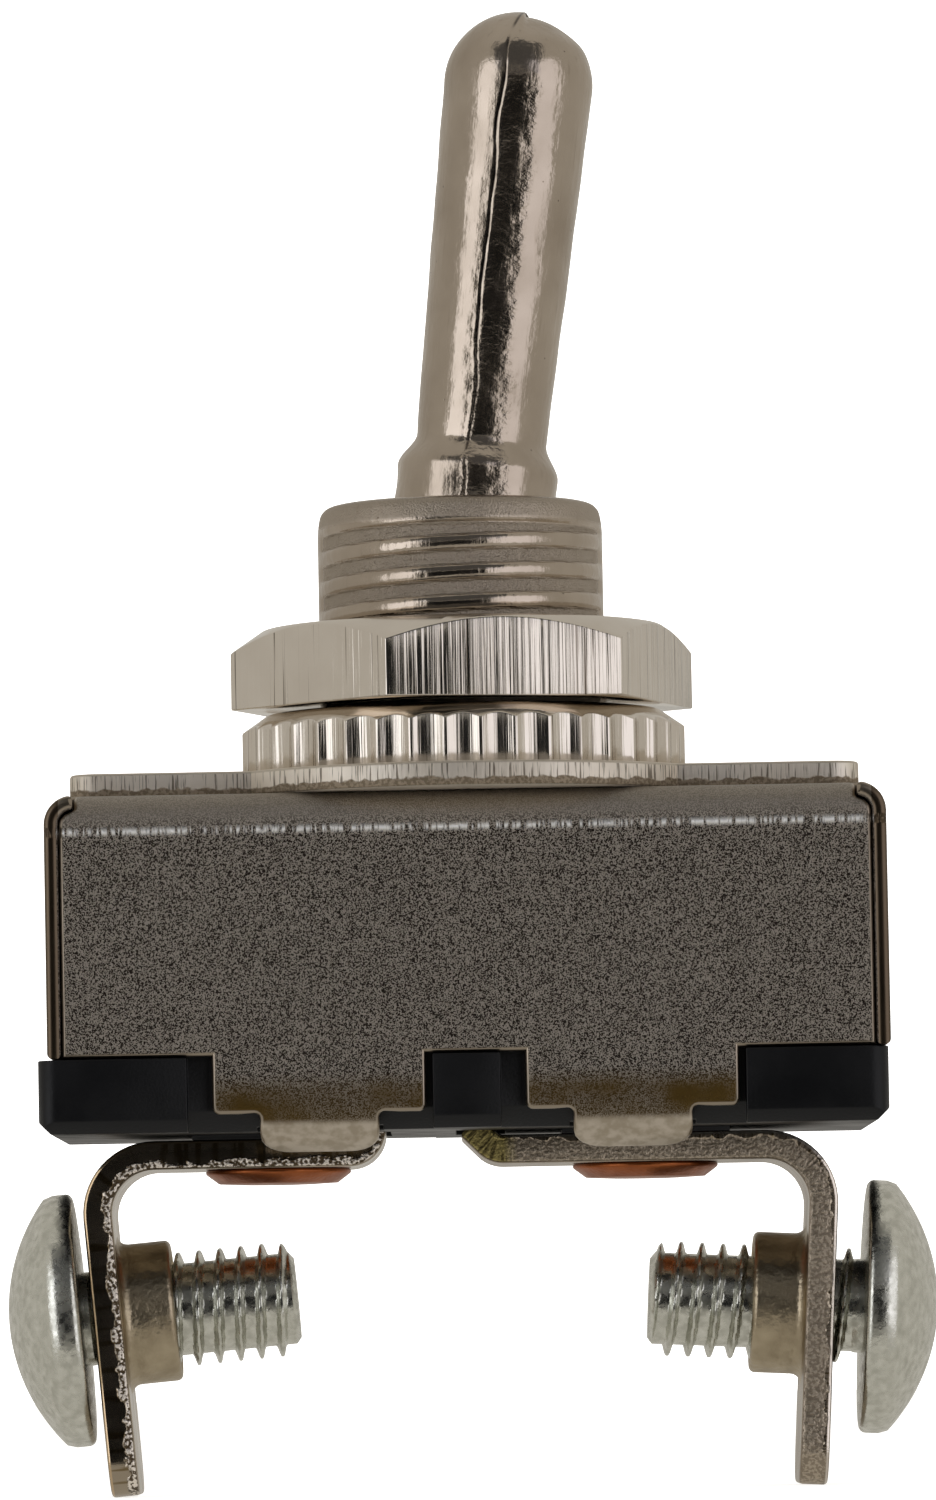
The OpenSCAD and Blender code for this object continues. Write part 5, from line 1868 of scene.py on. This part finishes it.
@dataclass
class Studio:
    """White tent with a dark front, two soft boxes, a pale floor and the camera."""

    distance: float = 0.405
    eye_z: float = -0.025
    aim: Vector = field(default_factory=lambda: Vector((0.00018, 0, 0.0011)))
    lens: float = 231.3
    roll: float = math.radians(-1.05)
    tent: float = 0.55
    floor_size: float = 8.0
    backdrop_y: float = 1.5

    def build(self) -> None:
        """Builds floor, world, cards, lights and camera."""
        self.world()
        self.floor()
        self.backdrop("backdrop", 0.0)
        self.backdrop("left_backdrop", math.pi / 2)
        self.backdrop("near_backdrop", math.pi)
        self.backdrop("right_backdrop", -math.pi / 2)
        self.card("front_flag", Vector((-0.08, -0.8, -0.05)), (0.8, 0.64), 0.012)
        self.card("upper_flag", Vector((-0.03, -0.55, 0.56)), (1.0, 0.74), 0.1)
        self.soft_box("left_box", Vector((-0.52, -0.43, 0.08)), (0.34, 0.7), 1.3, "#f2f5ff")
        self.soft_box("right_box", Vector((0.5, -0.46, 0.08)), (0.56, 0.7), 0.78, "#f0f0ff")
        self.camera()

    def world(self) -> None:
        """Lights the scene evenly from all round."""
        world = bpy.data.worlds.new("white_tent")
        world.use_nodes = True
        world.node_tree.nodes["Background"].inputs["Color"].default_value = linear("#fffaf0")
        world.node_tree.nodes["Background"].inputs["Strength"].default_value = self.tent
        scene = bpy.context.scene
        scene.world = world
        scene.view_settings.view_transform = "Standard"

    def sheet_object(self, name: str, size: tuple[float, float], finish: Finish) -> bpy.types.Object:
        """A flat card in its own XY plane.

        Args:
            name: Name of the card.
            size: Width and height, in metres.
            finish: What it is made of.

        Returns:
            The card.
        """
        mesh = bpy.data.meshes.new(name)
        x, y = size[0] / 2, size[1] / 2
        mesh.from_pydata([(-x, -y, 0), (x, -y, 0), (x, y, 0), (-x, y, 0)], [], [(0, 1, 2, 3)])
        mesh.materials.append(finish.material())
        obj = bpy.data.objects.new(name, mesh)
        bpy.context.scene.collection.objects.link(obj)
        obj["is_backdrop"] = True
        return obj

    def floor(self) -> None:
        """Lays the floor under the terminals' tips."""
        floor = self.sheet_object("floor", (self.floor_size, self.floor_size), FLOOR)
        floor.location.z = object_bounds()[0][2]
        floor.visible_glossy = False

    def backdrop(self, name: str, turn: float) -> None:
        """Hangs a white backdrop that only the camera sees, so that it adds nothing to the metal.

        Args:
            name: Name of the backdrop.
            turn: Angle round the switch, from straight behind it.
        """
        backdrop = self.sheet_object(name, (self.floor_size, self.floor_size), BACKDROP)
        backdrop.matrix_world = (Matrix.Rotation(turn, 4, "Z") @ Matrix.Translation((0, self.backdrop_y, 0))
                                 @ Matrix.Rotation(math.pi / 2, 4, "X"))
        backdrop.visible_glossy = False
        backdrop.visible_diffuse = False
        backdrop.visible_shadow = turn == 0

    def card(self, name: str, where: Vector, size: tuple[float, float], glow: float) -> None:
        """Stands a card for the metal to reflect, unseen by the camera.

        Args:
            name: Name of the card.
            where: Its middle. It faces the switch.
            size: Width and height.
            glow: How bright it is.
        """
        finish = BackLit(f"{name}_paper", "#060606", "#070707", 0.9, metallic=0.0, relief_mm=0.001,
                         shine=0.0, glow=glow)
        card = self.sheet_object(name, size, finish)
        aim = Vector((0, 0, 0)) - where
        card.matrix_world = Matrix.Translation(where) @ aim.to_track_quat("Z", "Y").to_matrix().to_4x4()
        card.visible_camera = False
        card.visible_shadow = False
        card.visible_diffuse = False

    def soft_box(self, name: str, where: Vector, size: tuple[float, float], radiance: float,
                 colour: str) -> None:
        """Hangs a soft box that faces the switch.

        Args:
            name: Name of the light.
            where: Its middle.
            size: Width and height.
            radiance: How bright its face is.
            colour: Colour of its light.
        """
        light = bpy.data.lights.new(name, "AREA")
        light.shape = "RECTANGLE"
        light.size, light.size_y = size
        light.energy = radiance * math.pi * size[0] * size[1]
        light.color = linear(colour)[:3]
        obj = bpy.data.objects.new(name, light)
        bpy.context.scene.collection.objects.link(obj)
        aim = -where
        obj.matrix_world = Matrix.Translation(where) @ aim.to_track_quat("-Z", "Y").to_matrix().to_4x4()

    def camera(self) -> None:
        """Stands the camera low in front, rolled as the switch was held."""
        data = bpy.data.cameras.new("camera")
        data.lens = self.lens
        obj = bpy.data.objects.new("camera", data)
        bpy.context.scene.collection.objects.link(obj)
        where = Vector((self.aim.x, -self.distance, self.eye_z))
        turn = (self.aim - where).to_track_quat("-Z", "Y").to_matrix().to_4x4()
        obj.matrix_world = Matrix.Translation(where) @ turn @ Matrix.Rotation(self.roll, 4, "Z")
        bpy.context.scene.camera = obj


def main() -> None:
    """Builds the sub-assemblies in order, then the studio."""
    logging.basicConfig(level=logging.INFO)
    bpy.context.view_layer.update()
    Stem().build()
    Lever().build()
    LocatingPlate().build()
    Can().build()
    left = Terminal(Side.LEFT, "terminal_left", "terminal_left_lug", lean=4.8, rivet_x=8.1, end_x=5.05,
                    end_turn=84, end_l=0.6, finish=STRIP_NICKEL)
    right = Terminal(Side.RIGHT, "terminal_right", "terminal_right_lug", lean=3.2, rivet_x=7.3, end_x=1.35,
                     end_turn=45, end_l=1.05, finish=WORN_STRIP, bare_end=True)
    left.build()
    right.build()
    EasedNode("hex_nut", "chamfered_nut", MILLED_NICKEL, Body.HEX_NUT, "nickel_nut", width=0.06).build()
    EasedNode("ring_nut", "fluted_nut", MILLED_NICKEL, Body.RING_NUT, "nickel_nut", width=0.04).build()
    EasedNode("base", "moulded_base", PHENOLIC, Body.FRAME, "phenolic", width=0.2, shade_deg=52).build()
    Rivet("rivet_left").build()
    Rivet("rivet_right").build()
    TerminalScrew("screw_left", Body.SCREW_LEFT, left, gap=0.5).build()
    TerminalScrew("screw_right", Body.SCREW_RIGHT, right, gap=1.3).build()
    PlungerSpring().build()
    KeptNodes().build()
    Studio().build()


if __name__ == "__main__":
    main()
